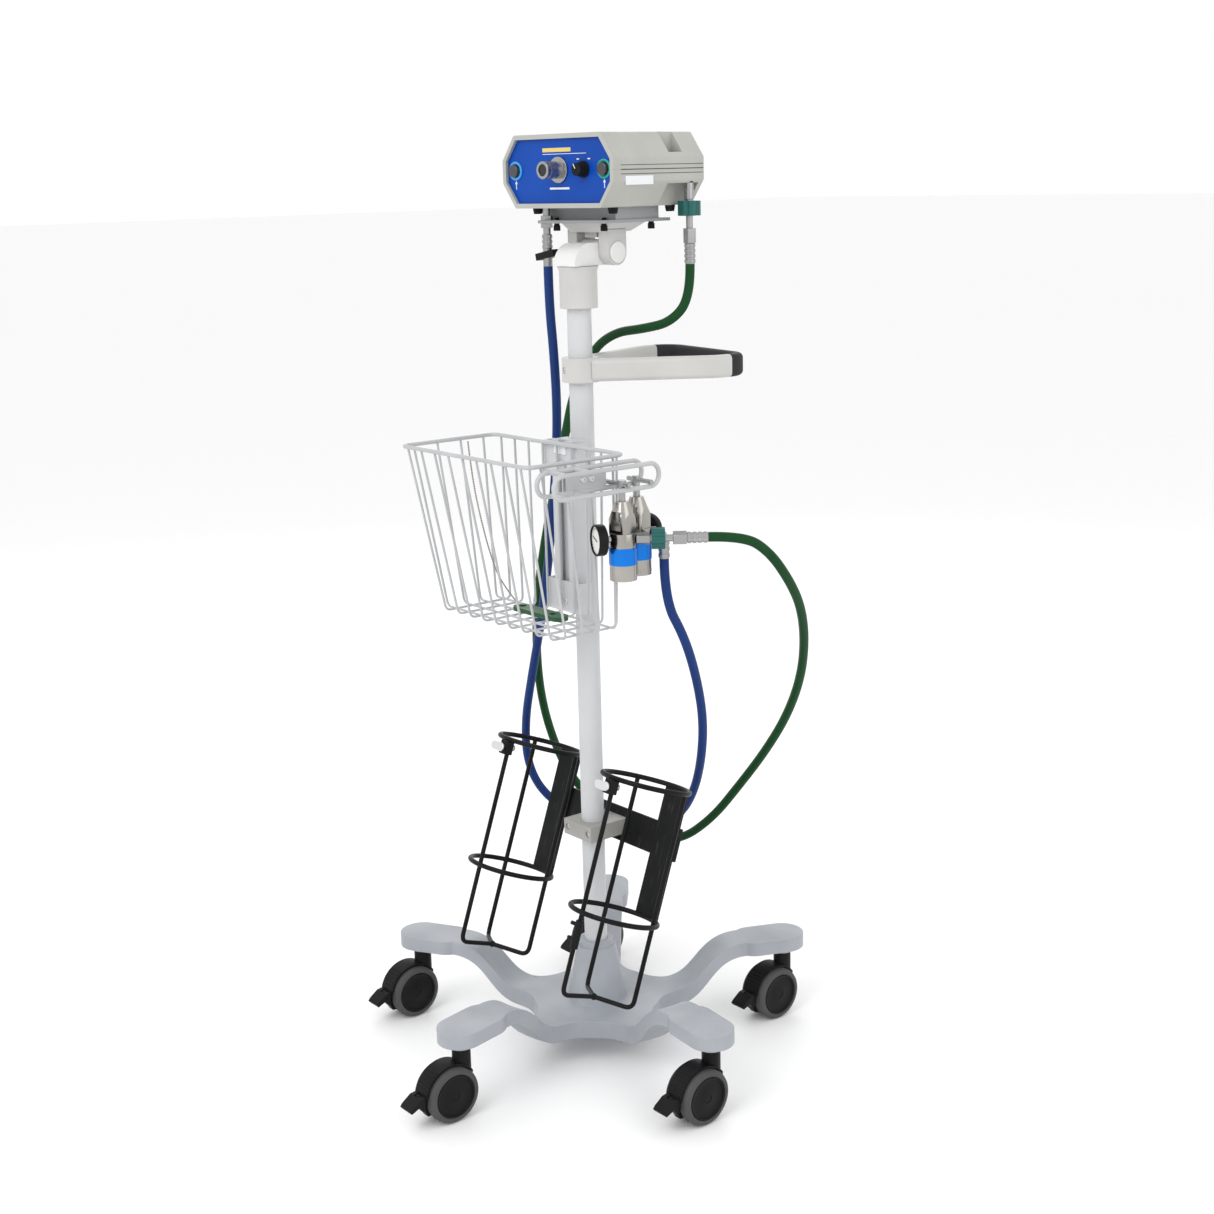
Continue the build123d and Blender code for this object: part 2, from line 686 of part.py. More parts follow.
def rounded_plate(half_x, half_y, corner, z0, z1, y=0.0):
    return extrude(Pos(0, y, z0) * RectangleRounded(2 * half_x, 2 * half_y, corner), z1 - z0)


def tilt_head():
    """Dished mounting casting with two ears on the tilt axis."""
    inner = neck_half_w + moving_gap
    top = Plane.XY.offset(plate_bottom_z) * Pos(0, case_y) * RectangleRounded(
        2 * dish_half, 2 * dish_half, dish_corner)
    low = Plane.XY.offset(dish_bottom_z) * Pos(0, case_y - 6) * RectangleRounded(
        2 * dish_half - 22, 2 * dish_half - 26, dish_corner)
    body = loft([low, top])
    for side in (-1, 1):
        x = sorted((side * inner, side * (inner + ear_t)))
        body += block(x, (tilt_y - ear_r, tilt_y + ear_r), (tilt_z, dish_bottom_z + 3))
        body += rod((x[0], tilt_y, tilt_z), (x[1], tilt_y, tilt_z), ear_r)
    body += block((-11, 11), (tilt_y - 11, tilt_y + 11), (tilt_z + 19, dish_bottom_z + 2))
    return head(body - rod((-60, tilt_y, tilt_z), (60, tilt_y, tilt_z), tilt_bolt_r + seat_gap))


def tilt_bolt():
    """Tilt bolt and the two end caps set on the ears."""
    face = neck_half_w + moving_gap + ear_t
    bolt = rod((-face, tilt_y, tilt_z), (face, tilt_y, tilt_z), tilt_bolt_r)
    caps = []
    for side in (-1, 1):
        cap = rod((side * face, tilt_y, tilt_z), (side * (face + 2), tilt_y, tilt_z), ear_r - 3)
        caps.append(head(cap))
    return [head(bolt)] + caps


def thumb_places():
    return [(x, case_y + y) for x in (-thumb_pitch / 2, thumb_pitch / 2)
            for y in (-thumb_pitch / 2, thumb_pitch / 2)]


def mounting_tray():
    """Flat plate under a shallow steel box; the box is open below and stands on the plate."""
    plate = block((-plate_half_x, plate_half_x), (case_y - plate_half_y, case_y + plate_half_y),
                  (plate_bottom_z, plate_top_z))
    for x, y in thumb_places():
        plate -= rod((x, y, 1100), (x, y, 1200), 2.5 + seat_gap)
    plate -= rod((*nitrous_port, 1100), (*nitrous_port, 1200), 5 + seat_gap)
    box = block((-box_half_x, box_half_x), (case_y - box_half_y, case_y + box_half_y),
                (plate_top_z, case_bottom_z))
    box -= block((-box_half_x + box_wall, box_half_x - box_wall),
                 (case_y - box_half_y + box_wall, case_y + box_half_y - box_wall),
                 (plate_top_z - 1, case_bottom_z - box_wall))
    return [head(plate), head(box)]


def thumb_screws():
    screws = []
    for x, y in thumb_places():
        screw = rod((x, y, plate_bottom_z - 3), (x, y, plate_top_z + 3), 2.5)
        knob = rod((x, y, plate_bottom_z - 10), (x, y, plate_bottom_z - 3), 4.6)
        collar = rod((x, y, plate_bottom_z - 3), (x, y, plate_bottom_z), 3.6)
        screws.append(head(screw + knob + collar))
    return screws


# --- mixer case ---------------------------------------------------------------------------------
def octagon(inset):
    """The case's section on the XZ plane, moved in by inset."""
    half, low, high = case_w / 2 - inset, case_bottom_z + inset, case_top_z - inset
    share = tan(atan2(case_rise, case_run) / 2)
    run = case_run - inset * (1 / share - case_run / case_rise) * 0.5
    rise = case_rise * run / case_run
    points = [(-half, low + rise), (-half + run, low), (half - run, low), (half, low + rise),
              (half, high - rise), (half - run, high), (-half + run, high), (-half, high - rise)]
    return make_face(Polyline(*points, close=True))


def case_slab(inset, y0, y1):
    """The octagon as a solid between two depths."""
    return extrude(Plane.XZ.offset(-y1) * octagon(inset), y1 - y0)


def case_shell():
    back_y = case_front_y + case_d
    outer = case_slab(0, case_front_y, back_y)
    long_edges = outer.edges().filter_by(Axis.Y)
    outer = fillet(long_edges, 5)
    outer -= case_slab(bezel_rim, case_front_y - 1, panel_front_y + 1)
    outer -= case_slab(case_wall, panel_front_y, back_y - case_wall)
    for side in (-1, 1):
        edge = side * case_w / 2
        recess = block(sorted((edge - side * 24, edge - side * 3)), (case_y + 22, case_y + 48),
                       (case_top_z - 26, case_top_z + 2))
        pocket = block(sorted((edge - side * 24, edge - side * 3)), (case_y + 22, case_y + 48),
                       (case_top_z - 29, case_top_z - 26))
        outer -= recess
        tray = block(sorted((edge - side * 27, edge)), (case_y + 19, case_y + 51),
                     (case_top_z - 29, case_top_z)) & case_slab(case_wall / 2, case_y, back_y - case_wall)
        outer += tray - recess - pocket
    x, y = oxygen_port
    outer -= block((x - 20, x + 30), (y - 44, y + 14), (case_bottom_z - 2, case_bottom_z + 28))
    liner = block((x - 23, x + 8), (y - 47, y + 17), (case_bottom_z, case_bottom_z + 31))
    liner &= case_slab(case_wall / 2, case_y, back_y - case_wall)
    liner -= block((x - 20, x + 30), (y - 44, y + 14), (case_bottom_z - 2, case_bottom_z + 28))
    outer += liner
    outer -= rod((*nitrous_port, case_bottom_z - 5), (*nitrous_port, case_bottom_z + 10), 5 + seat_gap)
    return outer - rod((x, y, case_bottom_z + 20), (x, y, case_bottom_z + 40), 5 + seat_gap)


def case_half(upper):
    low, high = (case_split_z, case_top_z + 5) if upper else (case_bottom_z - 5, case_split_z)
    return head(case_shell() & block((-200, 200), (-200, 300), (low, high)))


def front_panel():
    plate = case_slab(case_wall + 0.3, panel_front_y + 0.2, panel_front_y + 0.2 + panel_t)
    through = ((-indicator_x, indicator_r - 2), (indicator_x, indicator_r - 2), (0, outlet_tail_r), (knob_x, 5))
    for x, radius in through:
        plate -= rod((x, panel_front_y - 20, panel_z), (x, panel_front_y + 20, panel_z), radius + seat_gap)
    return head(plate)


def patient_outlet():
    """Plain 22 mm outlet with a 15 mm bore, a flange on the panel and a thinner tail."""
    face = panel_front_y + 0.2
    body = rod((0, face + panel_t + outlet_tail_len, panel_z), (0, face, panel_z), outlet_tail_r)
    body += rod((0, face, panel_z), (0, face - outlet_len, panel_z), outlet_r)
    body += rod((0, face, panel_z), (0, face - outlet_flange_t, panel_z), outlet_flange_r)
    return head(body - rod((0, face + 2, panel_z), (0, face - outlet_len - 5, panel_z), outlet_bore_r))


def selector_knob():
    """Off/on knob with a pointer and a shaft that runs into the valve."""
    face = panel_front_y + 0.2
    body = rod((knob_x, face - moving_gap, panel_z), (knob_x, face - 3, panel_z), knob_r + 1.5)
    body += rod((knob_x, face - 3, panel_z), (knob_x, face - knob_len, panel_z), knob_r, knob_r - 1)
    body += rod((knob_x, face - 1, panel_z), (knob_x, face + panel_t + 14, panel_z), knob_shaft_r)
    pointer = block((knob_x - 0.9, knob_x + 0.9), (face - knob_len - 0.6, face - knob_len + 2),
                    (panel_z + 1, panel_z + knob_r - 1.2))
    lean_left = Pos(knob_x, 0, panel_z) * Rot(0, -30, 0) * Pos(-knob_x, 0, -panel_z)
    return head(body + lean_left * pointer)


def pressure_indicators():
    """Black sight glasses for the two gases; each is one turned piece."""
    face = panel_front_y + 0.2
    pieces = []
    for x in (-indicator_x, indicator_x):
        body = rod((x, face - 1.6, panel_z), (x, face - 6, panel_z), indicator_r, indicator_r - 1.5)
        body += rod((x, face - 1.6, panel_z), (x, face + panel_t + 12, panel_z), indicator_r - 2)
        pieces.append(head(body))
    return pieces


def indicator_rings():
    face = panel_front_y + 0.2
    rings = []
    for x in (-indicator_x, indicator_x):
        ring = rod((x, face, panel_z), (x, face - 1.6, panel_z), indicator_r + 2.6)
        ring -= rod((x, face + 5, panel_z), (x, face - 5, panel_z), indicator_r - 2 + seat_gap)
        rings.append(head(ring))
    return rings


def case_feet():
    feet = []
    for x in (-foot_pitch_x / 2, foot_pitch_x / 2):
        for y in (-foot_pitch_y / 2, foot_pitch_y / 2):
            low, high = (x, case_y + y, case_bottom_z - foot_h), (x, case_y + y, case_bottom_z)
            feet.append(head(rod(low, high, foot_r - 1.5, foot_r)))
    return feet


def gas_mixer():
    """Mixing block on the case's floor, the selector valve and the demand valve in front of it."""
    floor = case_bottom_z + case_wall
    back = panel_front_y + 0.2 + panel_t
    bed = block((-64, 64), (back + 34, back + 104), (floor, floor + 46))
    selector = rod((knob_x, back + 2, panel_z), (knob_x, back + 34, panel_z), 11)
    selector -= rod((knob_x, back, panel_z), (knob_x, back + 16, panel_z), knob_shaft_r + running_gap)
    demand = rod((0, back + 9, panel_z), (0, back + 34, panel_z), 26)
    demand -= rod((0, back, panel_z), (0, back + 20, panel_z), outlet_bore_r)
    return [head(bed), head(selector), head(demand)]


# --- hose fittings and hoses --------------------------------------------------------------------
def ribbed(start, end, radius, ribs):
    """A crimped ferrule: a sleeve with raised rings."""
    a, b = Vector(*start), Vector(*end)
    body = rod(start, end, radius - 0.8)
    for index in range(ribs):
        low = a + (b - a) * ((index + 0.15) / ribs)
        high = a + (b - a) * ((index + 0.75) / ribs)
        body += rod((low.X, low.Y, low.Z), (high.X, high.Y, high.Z), radius)
    return body


def upper_hose_fittings():
    """Nitrous bulkhead with its nuts and ferrules, and the oxygen inlet tail."""
    x, y = nitrous_port
    stem = rod((x, y, plate_bottom_z - 14), (x, y, case_bottom_z + 8), 5)
    nuts = [hexagon((x, y, plate_top_z), (x, y, plate_top_z + 6), 14),
            hexagon((x, y, plate_bottom_z - 6), (x, y, plate_bottom_z), 14)]
    nuts = [nut - rod((x, y, 1100), (x, y, 1200), 5 + seat_gap) for nut in nuts]
    low = ribbed((x, y, plate_bottom_z - 14), (x, y, plate_bottom_z - 34), 7, 3)
    low += rod((x, y, plate_bottom_z - 34), (x, y, hose_top_z), 6.2)
    u, v = oxygen_port
    tail = rod((u, v, case_bottom_z + 26), (u, v, hose_top_z + 46), 4.5)
    tail += rod((u, v, case_bottom_z + 28), (u, v, case_bottom_z + 7), 6)
    tail += hexagon((u, v, hose_top_z + 46), (u, v, hose_top_z + 27), 15)
    tail += ribbed((u, v, hose_top_z + 27), (u, v, hose_top_z), 7.4, 4)
    return [head(piece) for piece in [stem + low] + nuts + [tail]]


def hose_clip():
    """Slanted release lever round the nitrous fitting."""
    x, y = nitrous_port
    body = Pos(x + 1, y, hose_top_z + 15) * Rot(0, -11, 0) * Box(34, 15, 9)
    body -= rod((x, y, 1000), (x, y, 1200), 7.1)
    return head(body)


def lobed_nut(start, end, radius, bore):
    """Hand nut with six finger grooves."""
    a, b = Vector(*start), Vector(*end)
    plane = Plane(origin=a, z_dir=b - a)
    face = plane * Circle(radius)
    body = extrude(face, (b - a).length)
    for index in range(6):
        turn = Rot(0, 0, index * 60)
        body -= extrude(plane * turn * Pos(radius + 1.6, 0) * Circle(3.4), (b - a).length)
    return body - extrude(plane * Circle(bore), (b - a).length)


def inlet_hand_nut():
    x, y = oxygen_port
    start, end = (x, y, case_bottom_z - 14), (x, y, case_bottom_z + 5)
    return head(lobed_nut(start, end, 15, 4.5 + running_gap))


def outlet_hand_nut():
    nut = lobed_nut((0, outlet_nut_y[0], outlet_z), (0, outlet_nut_y[1], outlet_z), 13.8,
                    4.5 + running_gap)
    return regulator_place(0, outlet_turn[0]) * nut


def lower_hose_fittings():
    """Oxygen tail on the first regulator and the nitrous elbow on the second."""
    wall = yoke_r + seat_gap
    tail = rod((0, wall, outlet_z), (0, outlet_end_y, outlet_z), 4.5)
    tail += hexagon((0, wall, outlet_z), (0, outlet_nut_y[0] - 2, outlet_z), 14)
    tail += hexagon((0, outlet_nut_y[1] + 10, outlet_z), (0, outlet_end_y - 27, outlet_z), 15)
    tail += ribbed((0, outlet_end_y - 27, outlet_z), (0, outlet_end_y, outlet_z), 7.4, 4)
    elbow = bent_wire([(0, wall, outlet_z), (0, elbow_y, outlet_z), (0, elbow_y, elbow_end_z + 4)], 5, 7)
    elbow += hexagon((0, wall, outlet_z), (0, wall + 7, outlet_z), 14)
    elbow += ribbed((0, elbow_y, elbow_end_z + 24), (0, elbow_y, elbow_end_z), 7.4, 3)
    return [regulator_place(0, outlet_turn[0]) * tail, regulator_place(1, outlet_turn[1]) * elbow]


def from_regulator(index, distance, z):
    """A point straight out of a regulator's outlet."""
    x, y = regulator_xy[index]
    turn = radians(outlet_turn[index])
    return (x - distance * sin(turn), y + distance * cos(turn), z)


def nitrous_points():
    """The blue hose: down the pole's left, round behind the holder and up to the elbow."""
    x, y, z = head_point(*nitrous_port, hose_top_z)
    end_x, end_y, end_z = from_regulator(1, elbow_y, elbow_end_z)
    return [(x, y, z), (x, y, 1040), (-55, -2, 975), (-58, 3, 900), (-65, 4, 826), (-77, 3, 745),
            (-97, 6, 662), (-126, 12, 578), (-160, 19, 498), (-192, 28, 424), (-205, 38, 354),
            (-194, 58, 302), (-152, 92, 268), (-98, 126, 254), (-42, 150, 262), (10, 156, 300),
            (56, 142, 352), (92, 124, 414), (124, 99, 482), (148, 66, 552), (166, 30, 616),
            (end_x, end_y, 672), (end_x, end_y, end_z)]


def oxygen_points():
    """The green hose: from the mixer's right side, behind the pole and round to the regulator."""
    x, y, z = head_point(*oxygen_port, hose_top_z)
    near, end = from_regulator(0, outlet_end_y + 46, outlet_z), from_regulator(0, outlet_end_y, outlet_z)
    return [(x, y, z), (x, y, 1046), (62, 106, 1014), (18, 92, 1004), (-30, 86, 998), (-72, 80, 974),
            (-102, 67, 916), (-111, 54, 846), (-115, 37, 775), (-124, 24, 704), (-139, 20, 629),
            (-161, 30, 550), (-183, 50, 470), (-196, 76, 396), (-192, 104, 326), (-158, 136, 268),
            (-102, 166, 232), (-36, 190, 236), (22, 205, 284), (70, 214, 344), (118, 219, 404),
            (166, 216, 468), (207, 203, 534), (240, 178, 598), (266, 145, 654), (284, 106, 698),
            (286, 70, 740), near, end]


def arc_radii(points):
    """The largest radius each corner has room for, short of half its shorter run."""
    radii = []
    for before, at, after in zip(points, points[1:], points[2:]):
        a, b = Vector(*at) - Vector(*before), Vector(*after) - Vector(*at)
        half = radians(a.get_angle(b)) / 2
        radii.append(0.45 * min(a.length, b.length) / tan(half))
    return radii


def cord(points, radius):
    radii = arc_radii(points)
    path = FilletPolyline(*points, radius=radii)
    tube = sweep(Plane(origin=path @ 0, z_dir=path % 0) * Circle(radius), path=path)
    print(f"  length {path.length:.0f} mm, smallest bend radius {min(radii):.0f} mm,"
          f" volume {tube.volume:.0f} of {path.length * 3.14159 * radius ** 2:.0f} mm3")
    return tube


# --- fasteners fixed to the stand ---------------------------------------------------------------
def cap_screw(head_at, direction, length):
    """Button-head screw: head_at is the seat under the head, direction points out of it."""
    seat, out = Vector(*head_at), Vector(*direction).normalized()
    top, tip = seat + out * 3, seat - out * length
    body = rod((seat.X, seat.Y, seat.Z), (top.X, top.Y, top.Z), 4.2, 3.2)
    body += rod((tip.X, tip.Y, tip.Z), (seat.X, seat.Y, seat.Z), 2.5)
    socket = hexagon((top.X - out.X * 1.6, top.Y - out.Y * 1.6, top.Z - out.Z * 1.6),
                     (top.X + out.X, top.Y + out.Y, top.Z + out.Z), 3)
    return body - socket


def frame_screws():
    screws = []
    for low in bracket_levels():
        for side in (-1, 1):
            screws.append(cap_screw((side * 5.5, channel_front_y - bracket_t, low + 15), (0, -1, 0), 5))
    for y, z in hanger_screw_places():
        screws.append(cap_screw((hanger_x + hanger_plate_t / 2, y, z), (1, 0, 0), 19))
    for x in (-clamp_screw_x, clamp_screw_x):
        screws.append(cap_screw((x, -clamp_half_y + 5, clamp_z + clamp_h / 2), (0, -1, 0), 32))
    pull = Rot(0, 0, handle_turn) * cap_screw((0, -handle_hub_r + 4, handle_z), (0, -1, 0), 4.5)
    screws.append(pull)
    return screws


def save(node, solids):
    shape = Compound(children=list(solids)) if isinstance(solids, list) else solids
    export_step(shape, f"parts/{node}.step")
    print(node)


def main():
    os.makedirs("parts", exist_ok=True)
    save("base_casting", base_casting())
    save("caster_stems", caster_stems())
    housing, wheels, pedal = caster_housing(), caster_wheels(), caster_pedal()
    for index in range(leg_count):
        place = Pos(*caster_xy(index), 0)
        save(f"caster_{index + 1}_housing", place * housing)
        save(f"caster_{index + 1}_wheels", [place * piece for piece in wheels])
        save(f"caster_{index + 1}_pedal", [place * piece for piece in pedal])
    save("pole", pole())
    save("cylinder_clamp", cylinder_clamp())
    save("holder_bar", holder_bar())
    save("left_cradle", left_cradle())
    save("right_cradle", right_cradle())
    save("left_wing_screw", wing_screw(-cradle_pitch / 2))
    save("right_wing_screw", wing_screw(cradle_pitch / 2))
    save("basket_channel", basket_channel())
    save("basket_brackets", basket_brackets())
    save("basket", basket())
    save("cylinder_wrench", cylinder_wrench())
    save("bead_chain", cord(chain_points(), chain_r))
    save("regulator_hanger", regulator_hanger())
    save("regulator_yokes", regulator_yokes())
    save("regulator_sleeves", regulator_sleeves())
    save("regulator_gauges", regulator_gauges())
    save("oxygen_tee_screw", tee_screw(0))
    save("nitrous_tee_screw", tee_screw(1))
    save("handle_frame", handle_frame())
    save("handle_grip", handle_grip())
    save("pole_collar", pole_collar())
    save("neck", neck())
    save("tilt_head", tilt_head())
    save("tilt_bolt", tilt_bolt())
    save("mounting_tray", mounting_tray())
    save("thumb_screws", thumb_screws())
    save("case_lower", case_half(False))
    save("case_upper", case_half(True))
    save("front_panel", front_panel())
    save("patient_outlet", patient_outlet())
    save("selector_knob", selector_knob())
    save("pressure_indicators", pressure_indicators())
    save("indicator_rings", indicator_rings())
    save("case_feet", case_feet())
    save("gas_mixer", gas_mixer())
    save("upper_hose_fittings", upper_hose_fittings())
    save("hose_clip", hose_clip())
    save("lower_hose_fittings", lower_hose_fittings())
    save("inlet_hand_nut", inlet_hand_nut())
    save("outlet_hand_nut", outlet_hand_nut())
    save("nitrous_hose", cord(nitrous_points(), hose_r))
    save("oxygen_hose", cord(oxygen_points(), hose_r))
    save("frame_screws", frame_screws())


if __name__ == "__main__":
    main()
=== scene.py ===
"""Looks for the gas analgesia unit on its five-caster roll stand.

Everything is in metres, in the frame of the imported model: +Z up, the origin on the floor on the pole's
axis, the basket and the mixer's front toward -Y, the push handle toward +Y, the regulators at +X.
"""

import json
import logging
import math
from dataclasses import dataclass
from enum import Enum

import bmesh
import bpy
import numpy as np
from mathutils import Matrix, Vector

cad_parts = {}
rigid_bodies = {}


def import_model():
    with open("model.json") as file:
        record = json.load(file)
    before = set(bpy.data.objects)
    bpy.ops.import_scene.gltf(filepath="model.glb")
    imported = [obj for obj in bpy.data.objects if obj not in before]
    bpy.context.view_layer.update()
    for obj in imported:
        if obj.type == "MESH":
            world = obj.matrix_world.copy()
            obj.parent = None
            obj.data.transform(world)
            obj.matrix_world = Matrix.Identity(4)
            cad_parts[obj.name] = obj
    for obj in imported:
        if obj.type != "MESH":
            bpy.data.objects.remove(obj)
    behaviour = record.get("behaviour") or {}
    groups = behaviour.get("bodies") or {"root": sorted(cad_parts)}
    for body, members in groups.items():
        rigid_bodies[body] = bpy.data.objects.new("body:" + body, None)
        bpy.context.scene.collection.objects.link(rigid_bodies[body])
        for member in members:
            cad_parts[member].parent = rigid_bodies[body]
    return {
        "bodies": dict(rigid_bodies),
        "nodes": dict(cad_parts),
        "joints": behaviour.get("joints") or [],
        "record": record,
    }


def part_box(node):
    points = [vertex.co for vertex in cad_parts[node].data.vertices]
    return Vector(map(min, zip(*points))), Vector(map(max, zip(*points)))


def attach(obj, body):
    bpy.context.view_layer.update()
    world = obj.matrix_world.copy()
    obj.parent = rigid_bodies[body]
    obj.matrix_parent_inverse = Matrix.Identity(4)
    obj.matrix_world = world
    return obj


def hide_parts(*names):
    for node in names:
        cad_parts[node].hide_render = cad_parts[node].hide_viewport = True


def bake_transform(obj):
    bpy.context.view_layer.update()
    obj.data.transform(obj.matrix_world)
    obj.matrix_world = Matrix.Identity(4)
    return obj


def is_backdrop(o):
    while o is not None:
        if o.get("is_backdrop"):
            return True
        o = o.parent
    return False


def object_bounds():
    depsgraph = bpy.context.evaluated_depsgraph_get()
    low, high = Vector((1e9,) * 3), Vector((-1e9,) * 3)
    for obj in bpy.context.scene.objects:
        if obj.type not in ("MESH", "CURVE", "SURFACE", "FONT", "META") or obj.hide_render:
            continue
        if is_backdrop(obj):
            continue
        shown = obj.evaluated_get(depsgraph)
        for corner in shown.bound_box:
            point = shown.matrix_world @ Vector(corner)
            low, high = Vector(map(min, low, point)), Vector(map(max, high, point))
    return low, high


LOG = logging.getLogger("looks")
Points = np.ndarray
Rgb = tuple[float, float, float]
SHARP_EDGE = 32.0       # degrees between two faces above which their edge stays sharp
HEAD_TURN = 6.0         # degrees that the mixer head stands turned on the pole


# --- finishes -----------------------------------------------------------------------------------
class Grain(Enum):
    """How a finish's fine relief runs."""

    EVEN = (1.0, 1.0, 1.0)
    UPRIGHT = (1.0, 1.0, 0.06)
    CROSSWISE = (0.05, 1.0, 1.0)


@dataclass(frozen=True)
class Finish:
    """A surface finish with a slow colour drift, a fine relief and a changing sheen.

    Args:
        name: the material's name.
        base: its main colour.
        soiled: the colour it drifts toward in patches.
        rough: lowest and highest roughness.
        grain_size: patches of fine relief per metre.
        relief: depth of the relief, in metres.
    """

    name: str
    base: Rgb
    soiled: Rgb
    rough: tuple[float, float] = (0.35, 0.5)
    metal: float = 0.0
    grain_size: float = 900.0
    relief: float = 0.00002
    patch_size: float = 14.0
    grain: Grain = Grain.EVEN
    coat: float = 0.0
    scuffs: float = 0.0
    gloss: float = 0.5

    def material(self) -> bpy.types.Material:
        """Build the node material once and give it back on later calls."""
        known = bpy.data.materials.get(self.name)
        if known:
            return known
        material = bpy.data.materials.new(self.name)
        material.use_nodes = True
        tree = material.node_tree
        shader = tree.nodes["Principled BSDF"]
        shader.inputs["Metallic"].default_value = self.metal
        shader.inputs["Coat Weight"].default_value = self.coat
        shader.inputs["Coat Roughness"].default_value = 0.15
        shader.inputs["Specular IOR Level"].default_value = self.gloss
        place = tree.nodes.new("ShaderNodeTexCoord")
        stretch = tree.nodes.new("ShaderNodeMapping")
        stretch.inputs["Scale"].default_value = self.grain.value
        tree.links.new(place.outputs["Object"], stretch.inputs["Vector"])
        patches = self._noise(tree, place.outputs["Object"], self.patch_size, 5.0)
        fine = self._noise(tree, stretch.outputs["Vector"], self.grain_size, 3.0)
        colour = self._ramp(tree, patches, (0.35, self.base), (0.8, self.soiled))
        if self.scuffs:
            colour = self._scuffed(tree, place, colour)
        tree.links.new(colour, shader.inputs["Base Color"])
        sheen = tree.nodes.new("ShaderNodeMapRange")
        sheen.inputs["From Min"].default_value = 0.3
        sheen.inputs["From Max"].default_value = 0.7
        sheen.inputs["To Min"].default_value = self.rough[0]
        sheen.inputs["To Max"].default_value = self.rough[1]
        tree.links.new(patches, sheen.inputs["Value"])
        tree.links.new(sheen.outputs["Result"], shader.inputs["Roughness"])
        bump = tree.nodes.new("ShaderNodeBump")
        bump.inputs["Strength"].default_value = 0.6
        bump.inputs["Distance"].default_value = self.relief
        tree.links.new(fine, bump.inputs["Height"])
        tree.links.new(bump.outputs["Normal"], shader.inputs["Normal"])
        return material

    @staticmethod
    def _noise(tree: bpy.types.NodeTree, vector: bpy.types.NodeSocket, size: float,
               detail: float) -> bpy.types.NodeSocket:
        """A noise texture's value.

        Args:
            tree: the material's node tree.
            vector: where the noise is read.
            size: patches per metre.
            detail: how many finer layers are added.

        Returns:
            The noise node's value socket.
        """
        noise = tree.nodes.new("ShaderNodeTexNoise")
        noise.inputs["Scale"].default_value = size
        noise.inputs["Detail"].default_value = detail
        tree.links.new(vector, noise.inputs["Vector"])
        return noise.outputs["Fac"]

    @staticmethod
    def _ramp(tree: bpy.types.NodeTree, value: bpy.types.NodeSocket, low: tuple[float, Rgb],
              high: tuple[float, Rgb]) -> bpy.types.NodeSocket:
        """A colour that runs from low's to high's as value passes their places."""
        ramp = tree.nodes.new("ShaderNodeValToRGB")
        for stop, (place, colour) in zip(ramp.color_ramp.elements, (low, high)):
            stop.position = place
            stop.color = (*colour, 1.0)
        tree.links.new(value, ramp.inputs["Fac"])
        return ramp.outputs["Color"]

    def _scuffed(self, tree: bpy.types.NodeTree, place: bpy.types.Node,
                 colour: bpy.types.NodeSocket) -> bpy.types.NodeSocket:
        """Pale rubbed streaks over colour, long in the upright direction."""
        stretch = tree.nodes.new("ShaderNodeMapping")
        stretch.inputs["Scale"].default_value = (1.0, 0.12, 0.12)
        tree.links.new(place.outputs["Object"], stretch.inputs["Vector"])
        streaks = self._noise(tree, stretch.outputs["Vector"], 260.0, 6.0)
        rubbed = self._ramp(tree, streaks, (0.6, (0.0, 0.0, 0.0)), (0.78, (1.0, 1.0, 1.0)))
        share = tree.nodes.new("ShaderNodeMath")
        share.operation = "MULTIPLY"
        share.inputs[1].default_value = self.scuffs
        tree.links.new(rubbed, share.inputs[0])
        mix = tree.nodes.new("ShaderNodeMix")
        mix.data_type = "RGBA"
        mix.inputs[7].default_value = (0.45, 0.45, 0.45, 1.0)
        tree.links.new(share.outputs["Value"], mix.inputs[0])
        tree.links.new(colour, mix.inputs[6])
        return mix.outputs[2]


POWDER = Finish("stand powder coat", (0.35, 0.37, 0.40), (0.28, 0.30, 0.33), (0.42, 0.58), relief=0.00004,
                grain_size=700.0)
POLE_PAINT = Finish("pole powder coat", (0.54, 0.55, 0.56), (0.49, 0.50, 0.51), (0.34, 0.46))
TRAY_STEEL = Finish("tray steel", (0.30, 0.31, 0.32), (0.24, 0.25, 0.26), (0.35, 0.5))
WARM_PLASTIC = Finish("warm grey plastic", (0.52, 0.515, 0.50), (0.46, 0.455, 0.44), (0.4, 0.52),
                      relief=0.00003)
WHITE_PLASTIC = Finish("white plastic", (0.72, 0.72, 0.71), (0.66, 0.66, 0.64), (0.28, 0.4), coat=0.1)
CASE_PLASTIC = Finish("case plastic", (0.42, 0.42, 0.39), (0.36, 0.36, 0.33), (0.42, 0.55), relief=0.00004,
                      grain_size=1300.0)
BLACK_PLASTIC = Finish("black plastic", (0.006, 0.006, 0.007), (0.014, 0.014, 0.014), (0.36, 0.55),
                       gloss=0.12)
BLACK_PAINT = Finish("black powder coat", (0.006, 0.0065, 0.007), (0.014, 0.014, 0.015), (0.38, 0.55),
                     scuffs=0.08, relief=0.00004, gloss=0.12)
WIRE_BLACK = Finish("black wire coat", (0.005, 0.005, 0.005), (0.011, 0.011, 0.011), (0.3, 0.45), gloss=0.12)
TYRE = Finish("grey tyre", (0.055, 0.055, 0.056), (0.08, 0.08, 0.078), (0.6, 0.8), relief=0.00005, gloss=0.3)
GRIP = Finish("soft dark grip", (0.020, 0.020, 0.023), (0.035, 0.035, 0.038), (0.6, 0.75), relief=0.00008,
              grain_size=1500.0, gloss=0.2)
BLOCK_GREY = Finish("natural block", (0.34, 0.335, 0.315), (0.27, 0.265, 0.25), (0.5, 0.65),
                    grain=Grain.CROSSWISE)
WIRE_WHITE = Finish("white wire coat", (0.46, 0.47, 0.48), (0.38, 0.39, 0.40), (0.28, 0.42))
